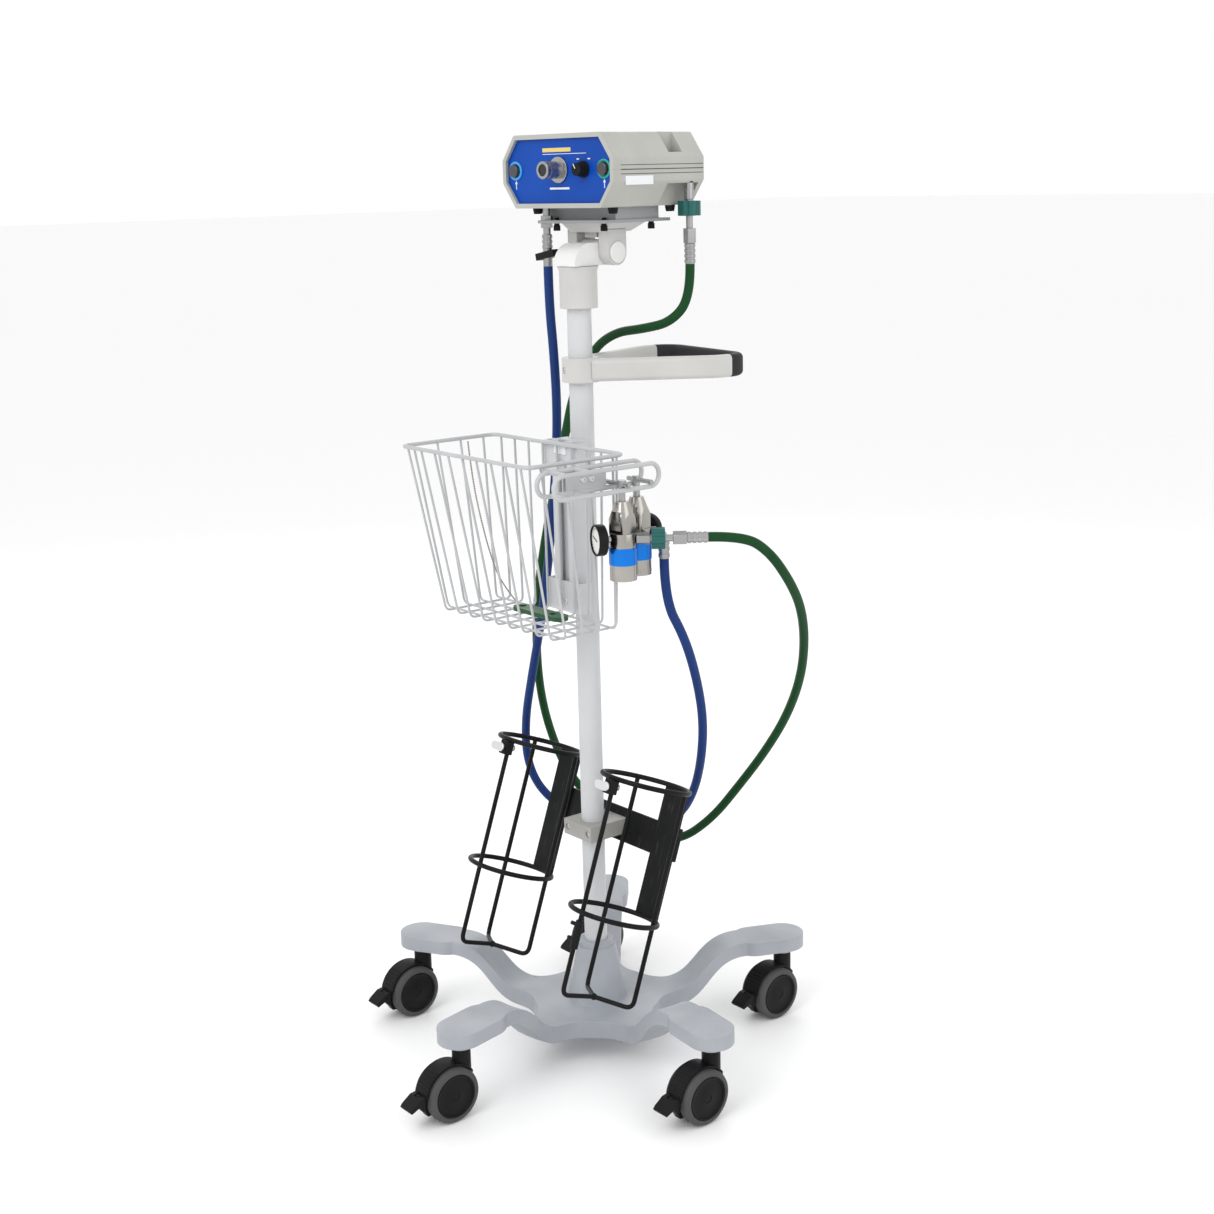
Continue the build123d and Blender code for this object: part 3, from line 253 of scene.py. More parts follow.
NICKEL = Finish("nickel", (0.44, 0.42, 0.39), (0.30, 0.285, 0.265), (0.14, 0.3), metal=1.0, relief=0.00001)
ZINC = Finish("zinc", (0.42, 0.44, 0.46), (0.32, 0.33, 0.34), (0.25, 0.45), metal=1.0)
TURNED = Finish("turned steel", (0.42, 0.42, 0.42), (0.30, 0.30, 0.30), (0.22, 0.38), metal=1.0,
                grain=Grain.UPRIGHT)
BLUE_METAL = Finish("blue anodised", (0.008, 0.20, 0.72), (0.006, 0.15, 0.6), (0.2, 0.3), metal=0.75,
                    grain=Grain.UPRIGHT)
PANEL_BLUE = Finish("blue panel", (0.001, 0.058, 0.36), (0.001, 0.048, 0.31), (0.3, 0.38),
                    relief=0.00001, gloss=0.2)
PRINT_WHITE = Finish("white print", (0.75, 0.78, 0.8), (0.68, 0.7, 0.72), (0.4, 0.5))
PRINT_GOLD = Finish("gold print", (0.72, 0.55, 0.16), (0.62, 0.46, 0.12), (0.4, 0.5))
PRINT_BLACK = Finish("black print", (0.01, 0.01, 0.01), (0.02, 0.02, 0.02), (0.4, 0.5))
RING_BLUE = Finish("light blue ring", (0.05, 0.35, 0.75), (0.04, 0.3, 0.7), (0.3, 0.4))
RING_GREEN = Finish("green ring", (0.0, 0.38, 0.18), (0.0, 0.32, 0.15), (0.3, 0.4))
NUT_GREEN = Finish("teal hand nut", (0.0, 0.10, 0.09), (0.0, 0.075, 0.068), (0.28, 0.4))
WRENCH_GREEN = Finish("green key", (0.006, 0.085, 0.02), (0.005, 0.06, 0.015), (0.35, 0.5))
HOSE_BLUE = Finish("blue hose", (0.004, 0.026, 0.13), (0.006, 0.034, 0.16), (0.42, 0.58), relief=0.00006,
                   gloss=0.2)
HOSE_GREEN = Finish("green hose", (0.002, 0.042, 0.008), (0.004, 0.055, 0.012), (0.42, 0.58), relief=0.00006,
                    gloss=0.2)
BOX_PAINT = Finish("mixer box paint", (0.10, 0.10, 0.105), (0.14, 0.14, 0.145), (0.4, 0.55), gloss=0.3)
DARK_LENS = Finish("dark lens", (0.01, 0.012, 0.015), (0.015, 0.02, 0.02), (0.06, 0.12), coat=0.8)
DIAL_WHITE = Finish("dial face", (0.72, 0.72, 0.70), (0.68, 0.68, 0.66), (0.5, 0.6))


# --- surfaces -----------------------------------------------------------------------------------
class Surface:
    """A mesh gathered from grids of points, each grid a function of two parameters."""

    def __init__(self) -> None:
        """Start with nothing in it."""
        self.points: list[Points] = []
        self.quads: list[Points] = []
        self.fans: list[list[int]] = []
        self.count = 0

    def grid(self, points: Points, round_: bool = True, ends: bool = True) -> "Surface":
        """Add a grid of rings: rows run along it, columns run round it.

        Args:
            points: rows x columns x 3 places; the column turn makes faces point outwards.
            round_: join the last column to the first.
            ends: close the first and last rows with a flat face.

        Returns:
            This surface, so that calls can be chained.
        """
        rows, columns = points.shape[:2]
        index = np.arange(rows * columns).reshape(rows, columns) + self.count
        step = np.roll(index, -1, axis=1) if round_ else index[:, 1:]
        base = index if round_ else index[:, :-1]
        faces = np.stack([base[:-1], step[:-1], step[1:], base[1:]], axis=-1).reshape(-1, 4)
        self.quads.append(faces)
        if ends:
            self.fans.append(index[0][::-1].tolist())
            self.fans.append(index[-1].tolist())
        self.points.append(points.reshape(-1, 3))
        self.count += rows * columns
        return self

    def turned(self, profile: Points, origin: Points, axis: Points, sides: int = 64, lobes: int = 0,
               lobe_depth: float = 0.0) -> "Surface":
        """Add a surface of revolution: radius as a function of height, swept round the axis.

        Args:
            profile: rows of (radius, height).
            origin: where height 0 lies.
            axis: the direction of growing height.
            sides: steps round.
            lobes: waves round the rim; the radius is multiplied by 1 minus a raised cosine.
            lobe_depth: how deep the waves are, as a share of the radius.

        Returns:
            This surface.
        """
        up = unit(axis)
        side = unit(np.cross(up, (0.0, 0.0, 1.0) if abs(up[2]) < 0.9 else (1.0, 0.0, 0.0)))
        other = np.cross(up, side)
        angle = np.linspace(0.0, 2.0 * np.pi, sides, endpoint=False)
        ring = np.cos(angle)[:, None] * side + np.sin(angle)[:, None] * other
        wave = 1.0 - lobe_depth * 0.5 * (1.0 - np.cos(lobes * angle))
        radius = profile[:, 0, None, None] * wave[None, :, None]
        rings = np.asarray(origin) + radius * ring[None] + profile[:, 1, None, None] * up
        return self.grid(rings)

    def tube(self, path: Points, radius: float | Points, sides: int = 16, closed: bool = False) -> "Surface":
        """Add a round tube along a path: circles set square to the path without twist.

        Args:
            path: the centre line's points.
            radius: one radius, or one for each point.
            sides: steps round.
            closed: the path ends where it starts.

        Returns:
            This surface.
        """
        line = np.vstack([path, path[:1]]) if closed else path
        radii = np.broadcast_to(np.asarray(radius, float), (len(line),))
        tangent = np.gradient(line, axis=0)
        if closed:
            tangent[0] = tangent[-1] = line[1] - line[-2]
        tangent /= np.linalg.norm(tangent, axis=1)[:, None]
        normal = carried_normals(tangent)
        binormal = np.cross(tangent, normal)
        angle = np.linspace(0.0, 2.0 * np.pi, sides, endpoint=False)
        across, upward = normal[:, None], binormal[:, None]
        ring = np.cos(angle)[None, :, None] * across + np.sin(angle)[None, :, None] * upward
        return self.grid(line[:, None] + radii[:, None, None] * ring, ends=not closed)

    def slab(self, outline: Points, lift: Points) -> "Surface":
        """Add a flat plate: an outline and its copy moved by lift.

        Args:
            outline: points round the plate, anticlockwise seen from the lift's side.
            lift: the thickness as a vector.

        Returns:
            This surface.
        """
        return self.grid(np.stack([outline, outline + np.asarray(lift)]))

    def piece(self, name: str, finish: Finish, bevel: float = 0.0) -> bpy.types.Object:
        """Make the object.

        Args:
            name: the object's name.
            finish: its finish.
            bevel: width of an edge rounding, in metres.

        Returns:
            The object, at the origin.
        """
        mesh = bpy.data.meshes.new(name)
        faces = [quad for part in self.quads for quad in part.tolist()] + self.fans
        mesh.from_pydata(np.vstack(self.points).tolist(), [], faces)
        mesh.validate()
        finish_mesh(mesh, merge=0.0000005)
        thing = bpy.data.objects.new(name, mesh)
        bpy.context.scene.collection.objects.link(thing)
        mesh.materials.append(finish.material())
        if bevel:
            add_bevel(thing, bevel)
        return thing


def unit(vector: Points) -> Points:
    """The vector at length 1."""
    vector = np.asarray(vector, float)
    return vector / np.linalg.norm(vector)


def carried_normals(tangent: Points) -> Points:
    """A normal at each point of a path, carried along it by the smallest turn.

    Args:
        tangent: the path's unit directions.

    Returns:
        Unit vectors square to them.
    """
    start = np.cross(tangent[0], (0.0, 0.0, 1.0))
    if np.linalg.norm(start) < 0.2:
        start = np.cross(tangent[0], (1.0, 0.0, 0.0))
    normals = [unit(start)]
    for direction in tangent[1:]:
        carried = normals[-1] - direction * np.dot(normals[-1], direction)
        normals.append(unit(carried))
    return np.array(normals)


def finish_mesh(mesh: bpy.types.Mesh, merge: float, flat: bool = False, angle: float = SHARP_EDGE) -> None:
    """Merge doubles, turn faces outwards and shade smooth up to an angle.

    Args:
        mesh: the mesh to finish.
        merge: distance under which points become one.
        flat: first join triangles that lie in one plane.
        angle: edges sharper than this stay sharp, in degrees.
    """
    work = bmesh.new()
    work.from_mesh(mesh)
    bmesh.ops.remove_doubles(work, verts=work.verts, dist=merge)
    if flat:
        bmesh.ops.dissolve_limit(work, angle_limit=math.radians(0.6), verts=work.verts, edges=work.edges)
    bmesh.ops.recalc_face_normals(work, faces=work.faces)
    work.to_mesh(mesh)
    work.free()
    mesh.polygons.foreach_set("use_smooth", np.ones(len(mesh.polygons), dtype=bool))
    mesh.set_sharp_from_angle(angle=math.radians(angle))


def add_bevel(thing: bpy.types.Object, width: float, segments: int = 2) -> None:
    """Round the sharp edges of a piece by width."""
    bevel = thing.modifiers.new("rounding", "BEVEL")
    bevel.width = width
    bevel.segments = segments
    bevel.limit_method = "ANGLE"
    bevel.angle_limit = math.radians(SHARP_EDGE)
    bevel.use_clamp_overlap = True
    bevel.harden_normals = False


def bent_path(corners: Points, bend: float, steps: int = 8) -> Points:
    """A wire's line: straight runs with each corner replaced by a quarter-ellipse-like blend.

    Near each corner the line is a quadratic curve from bend before the corner to bend after it.

    Args:
        corners: the wire's corner points.
        bend: how far from a corner its bend starts.
        steps: points in a bend.

    Returns:
        The line's points.
    """
    corners = np.asarray(corners, float)
    line = [corners[:1]]
    share = np.linspace(0.0, 1.0, steps)[:, None]
    for before, corner, after in zip(corners, corners[1:], corners[2:]):
        start = corner + unit(before - corner) * bend
        end = corner + unit(after - corner) * bend
        line.append((1 - share) ** 2 * start + 2 * share * (1 - share) * corner + share ** 2 * end)
    line.append(corners[-1:])
    return np.vstack(line)


def turned_about_z(points: Points, degrees: float) -> Points:
    """Points turned about the pole's axis."""
    a = math.radians(degrees)
    turn = np.array([[math.cos(a), -math.sin(a), 0], [math.sin(a), math.cos(a), 0], [0, 0, 1]])
    return np.asarray(points, float) @ turn.T


# --- carrying CAD nodes over --------------------------------------------------------------------
class Frame:
    """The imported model: its bodies, and the finished copies that stand for its nodes."""

    def __init__(self) -> None:
        """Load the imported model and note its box."""
        self.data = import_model()
        self.box = [list(corner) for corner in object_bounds()]
        record = self.data["record"]
        self.body = {node: body for body, nodes in record["behaviour"]["bodies"].items() for node in nodes}
        self.slot = {part["node"]: part["material_slot"] for part in record["subparts"]}

    def add(self, thing: bpy.types.Object, node: str, replaces: bool = False) -> bpy.types.Object:
        """Let a piece go with a node's body.

        Args:
            thing: the new piece.
            node: the CAD node it belongs to.
            replaces: the node itself is no longer shown.

        Returns:
            The same piece.
        """
        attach(thing, self.body[node])
        if replaces:
            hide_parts(node)
        LOG.info("piece %s on %s", thing.name, self.body[node])
        return thing

    def dress(self, node: str, finish: Finish, bevel: float = 0.0,
              angle: float = SHARP_EDGE) -> bpy.types.Object:
        """Copy a CAD node, merge it, round its edges and give it a finish.

        Args:
            node: the CAD node.
            finish: the copy's finish.
            bevel: width of the rounding, in metres.
            angle: edges sharper than this stay sharp, in degrees.

        Returns:
            The copy, which stands for the node.
        """
        mesh = self.data["nodes"][node].data.copy()
        mesh.name = f"{node}_finished"
        mesh.materials.clear()
        finish_mesh(mesh, merge=0.00001, flat=bevel > 0, angle=angle)
        thing = bpy.data.objects.new(f"{node}_finished", mesh)
        bpy.context.scene.collection.objects.link(thing)
        mesh.materials.append(finish.material())
        if bevel:
            add_bevel(thing, bevel)
        return self.add(thing, node, replaces=True)

    @staticmethod
    def middle(node: str) -> Points:
        """The centre of a CAD node's box."""
        low, high = (np.array(corner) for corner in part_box(node))
        return (low + high) / 2


# --- hoses and chain ----------------------------------------------------------------------------
@dataclass
class Hoses:
    """The two gas hoses and the wrench's bead chain."""

    frame: Frame
    radius: float = 0.0062
    chain_radius: float = 0.0012
    nitrous_cut: int = 14
    oxygen_cut: int = 20
    reach: int = 70
    bead_pitch: float = 0.0032
    bead_step: float = 0.0004

    def smooth_line(self, route: Points) -> Points:
        """The NURBS line whose control points are the route's.

        Args:
            route: the given points.

        Returns:
            Points along the smooth line, read from the spline itself.
        """
        curve = bpy.data.curves.new("route", "CURVE")
        curve.dimensions = "3D"
        curve.resolution_u = 10
        spline = curve.splines.new("NURBS")
        spline.points.add(len(route) - 1)
        for control, place in zip(spline.points, route):
            control.co = (*place, 1.0)
        spline.order_u = 3
        spline.use_endpoint_u = True
        holder = bpy.data.objects.new("route", curve)
        bpy.context.scene.collection.objects.link(holder)
        bpy.context.view_layer.update()
        mesh = bpy.data.meshes.new_from_object(holder)
        line = np.empty(len(mesh.vertices) * 3)
        mesh.vertices.foreach_get("co", line)
        bpy.data.objects.remove(holder)
        bpy.data.meshes.remove(mesh)
        return line.reshape(-1, 3)

    def head_place(self, x: float, y: float, z: float) -> list[float]:
        """A place given in the turned head's frame, in millimetres, as metres in the row frame."""
        return turned_about_z(np.array([[x, y, z]]) / 1000.0, HEAD_TURN)[0].tolist()

    def nitrous_route(self) -> Points:
        """The blue hose: down the pole's left, round behind the holder and up to the elbow."""
        top = self.head_place(-56.0, -1.0, 1090.0)
        low = [(-55, -2, 975), (-58, 3, 900), (-65, 4, 826), (-77, 3, 745), (-97, 6, 662), (-126, 12, 578),
               (-160, 19, 498), (-192, 28, 424), (-205, 38, 354), (-194, 58, 302), (-152, 92, 268),
               (-98, 126, 254), (-42, 150, 262), (10, 156, 300), (56, 142, 352), (92, 124, 414),
               (124, 99, 482), (148, 66, 552), (166, 30, 616), (174.5, -9.6, 672), (174.5, -9.6, 728)]
        return np.vstack([[top, [top[0], top[1], 1.04]], np.array(low) / 1000.0])

    def oxygen_route(self) -> Points:
        """The green hose: from the mixer's right side, behind the pole and round to the regulator."""
        top = self.head_place(96.0, 112.0, 1090.0)
        low = [(62, 106, 1014), (18, 92, 1004), (-30, 86, 998), (-72, 80, 974), (-102, 67, 916),
               (-111, 54, 846), (-115, 37, 775), (-124, 24, 704), (-139, 20, 629), (-161, 30, 550),
               (-183, 50, 470), (-196, 76, 396), (-192, 104, 326), (-158, 136, 268), (-102, 166, 232),
               (-36, 190, 236), (22, 205, 284), (70, 214, 344), (118, 219, 404), (166, 216, 468),
               (207, 203, 534), (240, 178, 598), (266, 145, 654), (284, 106, 698), (286, 70, 740),
               (267.7, 44.4, 762), (238.9, 8.5, 762)]
        return np.vstack([[top, [top[0], top[1], 1.046]], np.array(low) / 1000.0])

    def hose(self, name: str, node: str, route: Points, finish: Finish, cut: int) -> None:
        """Make one hose as two lengths of one line, split where it leaves the head's reach.

        Args:
            name: the pieces' name.
            node: the CAD hose they stand for.
            route: its given points.
            finish: its finish.
            cut: the index, in the smooth line, where the two lengths meet.
        """
        line = self.smooth_line(route)
        lengths = (line[:cut + 1], line[cut:])
        for half, path in zip(("upper", "lower"), lengths):
            thing = Surface().tube(path, self.radius, 20).piece(f"{name}_{half}", finish)
            if half == "upper":
                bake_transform(thing)
            else:
                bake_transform(thing)
            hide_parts(node)

    def chain(self) -> None:
        """Bead chain: a tube whose radius swells into a bead at every pitch."""
        route = np.array([(-135, -93, 858), (-129, -92, 806), (-117, -90, 756), (-101, -88, 708),
                          (-80, -86, 668), (-47, -84, 646.2)]) / 1000.0
        line = self.smooth_line(route)
        steps = np.r_[0.0, np.cumsum(np.linalg.norm(np.diff(line, axis=0), axis=1))]
        run = np.arange(0.0, steps[-1], self.bead_step)
        fine = np.stack([np.interp(run, steps, line[:, k]) for k in range(3)], axis=1)
        swell = np.sqrt(np.abs(np.sin(np.pi * run / self.bead_pitch)))
        radius = self.chain_radius * (0.45 + 0.6 * swell)
        thing = Surface().tube(fine, radius, 8).piece("bead_chain_beads", NICKEL)
        self.frame.add(thing, "bead_chain", replaces=True)

    def build(self) -> None:
        """Make both hoses and the chain."""
        self.hose("nitrous_hose", "nitrous_hose", self.nitrous_route(), HOSE_BLUE, self.nitrous_cut)
        self.hose("oxygen_hose", "oxygen_hose", self.oxygen_route(), HOSE_GREEN, self.oxygen_cut)
        self.chain()


# --- base, pole and casters ---------------------------------------------------------------------
@dataclass
class RollStand:
    """The cast base, the pole and its collar."""

    frame: Frame

    def build(self) -> None:
        """Dress the stand's fixed pieces."""
        self.frame.dress("base_casting", POWDER, 0.003, angle=40.0)
        self.frame.dress("caster_stems", ZINC)
        self.frame.dress("pole", POLE_PAINT)
        self.frame.dress("pole_collar", WARM_PLASTIC, 0.0008)
        self.frame.dress("frame_screws", ZINC, 0.0003)


@dataclass
class Caster:
    """A twin-wheel caster: ribbed hood, two tyres with dished discs, and a brake pedal."""

    frame: Frame
    number: int
    wheel_radius: float = 0.0375
    gap: float = 0.0052
    width: float = 0.0175
    rib_count: int = 7

    def tyre_profile(self) -> Points:
        """Radius and height of the tyre's section: rounded shoulders and a shallow groove in the tread."""
        r, g, w = self.wheel_radius, self.gap, self.width
        return np.array([(0.0245, g + 0.001), (0.034, g), (r - 0.0012, g + 0.0008), (r, g + 0.003),
                         (r, g + w * 0.44), (r - 0.0007, g + w * 0.47), (r - 0.0007, g + w * 0.53),
                         (r, g + w * 0.56), (r, g + w - 0.005), (r - 0.0014, g + w - 0.0022),
                         (r - 0.004, g + w - 0.0006), (r - 0.0068, g + w), (r - 0.0078, g + w - 0.0008),
                         (r - 0.0082, g + w - 0.003), (0.0245, g + w - 0.003)])

    def disc_profile(self) -> Points:
        """Radius and height of the wheel's outer disc: raised rim, dished face and small hub."""
        r, face = self.wheel_radius, self.gap + self.width
        return np.array([(r - 0.0084, face - 0.004), (r - 0.0084, face - 0.0006), (r - 0.0092, face),
                         (r - 0.0108, face - 0.0004), (r - 0.0116, face - 0.0022),
                         (r - 0.0135, face - 0.0028), (0.016, face - 0.0022), (0.008, face - 0.0012),
                         (0.0062, face - 0.0008),
                         (0.0058, face - 0.0016), (0.0, face - 0.0018)])

    def build(self) -> None:
        """Make the wheels and the hood's ribs, and dress the housing and the pedal."""
        node = f"caster_{self.number}_wheels"
        centre = self.frame.middle(node)
        tyres, discs = Surface(), Surface()
        for side in (-1.0, 1.0):
            axis = np.array([side, 0.0, 0.0])
            tyres.turned(self.tyre_profile(), centre, axis, 96)
            discs.turned(self.disc_profile(), centre, axis, 72)
        self.frame.add(tyres.piece(f"caster_{self.number}_tyres", TYRE), node, replaces=True)
        self.frame.add(discs.piece(f"caster_{self.number}_discs", BLACK_PLASTIC), node)
        axle = np.array([(0.003, -0.0195), (0.003, 0.0195)])
        bar = Surface().turned(axle, centre, np.array([1.0, 0.0, 0.0]), 24)
        self.frame.add(bar.piece(f"caster_{self.number}_axle", ZINC), node)
        housing = f"caster_{self.number}_housing"
        self.frame.dress(housing, BLACK_PLASTIC, 0.0008)
        self.frame.dress(f"caster_{self.number}_pedal", BLACK_PLASTIC, 0.0012)
        self.ribs(centre, housing)

    def ribs(self, centre: Points, housing: str) -> None:
        """Short raised bars across the hood: each lies along the axle at an angle round the wheel.

        Args:
            centre: the middle of the axle.
            housing: the node that they sit on.
        """
        radius = self.wheel_radius + 0.0040
        ribs = Surface()
        for angle in np.radians(np.linspace(122.0, 164.0, self.rib_count)):
            place = centre + radius * np.array([0.0, math.cos(angle), math.sin(angle)])
            path = place + np.array([[-0.0115, 0.0, 0.0], [0.0115, 0.0, 0.0]])
            ribs.tube(path, 0.0008, 8)
        self.frame.add(ribs.piece(f"caster_{self.number}_ribs", BLACK_PLASTIC), housing)


# --- cylinder holder ----------------------------------------------------------------------------
@dataclass
class CylinderHolder:
    """Two leaning wire cradles on a bar clamped to the pole."""

    frame: Frame
    pitch: float = 0.235
    lean: float = 19.5
    ring: float = 0.060
    ring_wire: float = 0.0035
    leg_wire: float = 0.0032
    spacing: float = 0.183
    depth: float = 0.297
    plate_width: float = 0.044
    plate_thickness: float = 0.004
    block: float = 0.014

    def placed(self, points: Points, x: float) -> Points:
        """Points of a cradle's own frame, whose height runs up its leaning axis, in the row frame."""
        a = math.radians(-self.lean)
        turn = np.array([[1, 0, 0], [0, math.cos(a), -math.sin(a)], [0, math.sin(a), math.cos(a)]])
        return np.asarray(points, float) @ turn.T + np.array([x, 0.0005, 0.410])

    def leg(self, degrees: float) -> Points:
        """A leg: down inside the rings, then in under the cylinder to its axis."""
        a = math.radians(degrees)
        out = (self.ring - self.ring_wire) * np.array([math.cos(a), math.sin(a), 0.0])
        down = np.array([0.0, 0.0, -self.depth])
        return bent_path(np.array([out + (0, 0, 0.0014), out + down, 0.02 * out + down]), 0.012, 10)

    def cradle(self, side: str, x: float) -> None:
        """Make one cradle's wires, plate and screw block.

        Args:
            side: left or right.
            x: where its axis is.
        """
        node = f"{side}_cradle"
        wires = Surface()
        turn = np.linspace(0.0, 2.0 * np.pi, 96, endpoint=False)
        for drop in (0.0, -self.spacing):
            ring = np.stack([self.ring * np.cos(turn), self.ring * np.sin(turn), np.full(96, drop)], axis=1)
            wires.tube(self.placed(ring, x), self.ring_wire, 16, closed=True)
        for degrees in (270.0, 30.0, 150.0):
            wires.tube(self.placed(self.leg(degrees), x), self.leg_wire, 16)
        angle = np.linspace(0.0, np.pi, 9)
        bead = np.stack([0.0048 * np.sin(angle), -0.0048 * np.cos(angle)], axis=1)
        foot = self.placed(np.array([[0.0, 0.0, -self.depth]]), x)[0]
        wires.turned(bead, foot, np.array([0.0, 0.0, 1.0]), 20)
        self.frame.add(wires.piece(f"{node}_wires", WIRE_BLACK), node, replaces=True)
        half, t = self.plate_width / 2, self.plate_thickness / 2
        corners = np.array([(-half, self.ring - t, -self.spacing), (half, self.ring - t, -self.spacing),
                            (half, self.ring - t, 0.0), (-half, self.ring - t, 0.0)])
        back = self.placed(corners + (0, 2 * t, 0), x) - self.placed(corners, x)
        plate = Surface().slab(self.placed(corners, x), back[0])
        self.frame.add(plate.piece(f"{node}_plate", BLACK_PAINT, 0.0006), node)
        half, front = self.block / 2, -self.ring - self.block / 2
        corners = np.array([(-half, front, -0.022), (half, front, -0.022), (half, front, -0.002),
                            (-half, front, -0.002)])
        back = self.placed(corners + (0, self.block, 0), x) - self.placed(corners, x)
        block = Surface().slab(self.placed(corners, x), back[0])
        self.frame.add(block.piece(f"{node}_block", BLACK_PAINT, 0.001), node)
        if side == "right":
            self.clip(node, x)

    def clip(self, node: str, x: float) -> None:
        """The small clip pinched round the right cradle's front leg below its middle ring."""
        reach = self.ring - self.ring_wire
        path = np.array([(0.0, -reach, -self.spacing - 0.012), (0.0, -reach, -self.spacing - 0.050)])
        sleeve = Surface().tube(self.placed(path, x), 0.0056, 20)
        for drop in (0.018, 0.038):
            ear = np.array([(0.0, -reach, 0.0), (-0.012, -reach - 0.004, 0.0)]) - (0, 0, self.spacing + drop)
            sleeve.tube(self.placed(ear, x), 0.0028, 10)
        self.frame.add(sleeve.piece("cradle_clip", BLACK_PLASTIC, 0.0006), node)

    def build(self) -> None:
        """Make both cradles and dress the bar, clamp and wing screws."""
        self.cradle("left", -self.pitch / 2)
        self.cradle("right", self.pitch / 2)
        self.frame.dress("holder_bar", BLACK_PAINT, 0.0008)
        self.frame.dress("cylinder_clamp", BLOCK_GREY, 0.0008)
        for side in ("left", "right"):
            self.frame.dress(f"{side}_wing_screw", ZINC, 0.0008)


# --- basket and regulators ----------------------------------------------------------------------
@dataclass
class Basket:
    """The welded wire basket, its channel and brackets, the key and the hanger."""

    frame: Frame
    rim_z: float = 0.862
    floor_z: float = 0.634
    back_y: float = -0.044
    rim: tuple[float, float] = (0.282, 0.152)
    floor: tuple[float, float] = (0.264, 0.108)
    rim_wire: float = 0.00275
    wire: float = 0.0016
    long_wires: int = 9
    cross_wires: int = 4
    bracket_front_y: float = -0.039
    bracket_edge: float = 0.004
    label_drop: float = 0.007

    def corner(self, share: float, edge: float, level: float) -> Points:
        """A place on the tapered basket: share runs along x, edge from the back to the front."""
        up = (level - self.floor_z) / (self.rim_z - self.floor_z)
        length = self.floor[0] + (self.rim[0] - self.floor[0]) * up
        depth = self.floor[1] + (self.rim[1] - self.floor[1]) * up
        return np.array([length * share, self.back_y - depth * edge, level])

    def build(self) -> None:
        """Make the wires and dress the solid pieces."""
        wires = Surface()
        round_rim = ((-0.5, 0), (0.5, 0), (0.5, 1), (-0.5, 1), (-0.5, 0))
        rim = [self.corner(share, edge, self.rim_z) for share, edge in round_rim]
        middle = (rim[0] + rim[1]) / 2
        loop = bent_path(np.array([middle, *rim[1:], middle]), 0.014)
        wires.tube(loop[:-1], self.rim_wire, 14, closed=True)
        for index in range(self.long_wires):
            share = (index + 0.5) / self.long_wires - 0.5
            places = [(0, self.rim_z), (0, self.floor_z), (1, self.floor_z), (1, self.rim_z)]
            corners = np.array([self.corner(share, edge, level) for edge, level in places])
            wires.tube(bent_path(corners, 0.008), self.wire, 10)
        low = self.floor_z + self.wire
        for index in range(self.cross_wires):
            edge = (index + 0.5) / self.cross_wires
            places = [(-0.5, self.rim_z), (-0.5, low), (0.5, low), (0.5, self.rim_z)]
            corners = np.array([self.corner(share, edge, level) for share, level in places])
            wires.tube(bent_path(corners, 0.008), self.wire, 10)
        self.frame.add(wires.piece("basket_wires", WIRE_WHITE), "basket", replaces=True)
        self.frame.dress("basket_channel", POLE_PAINT, 0.0006)
        self.frame.dress("basket_brackets", POLE_PAINT, 0.0005)
        self.frame.dress("regulator_hanger", WIRE_WHITE, 0.0004, angle=40.0)
        self.frame.dress("cylinder_wrench", WRENCH_GREEN, 0.0012)
        self.label()

    def label(self) -> None:
        """A blank label on the upper bracket with a thin dark line round it."""
        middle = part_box("basket_brackets")[1][2] - self.bracket_edge - self.label_drop
        for name, finish, half, tall, lift in (("label_edge", PRINT_BLACK, 0.0135, 0.0118, 0.0001),
                                               ("label_face", PRINT_WHITE, 0.0131, 0.0110, 0.0002)):
            y = self.bracket_front_y - lift
            outline = np.array([(-half, y, middle - tall / 2), (half, y, middle - tall / 2),
                                (half, y, middle + tall / 2), (-half, y, middle + tall / 2)])
            thing = Surface().slab(outline, (0.0, 0.0004, 0.0)).piece(name, finish)
            self.frame.add(thing, "basket_brackets")


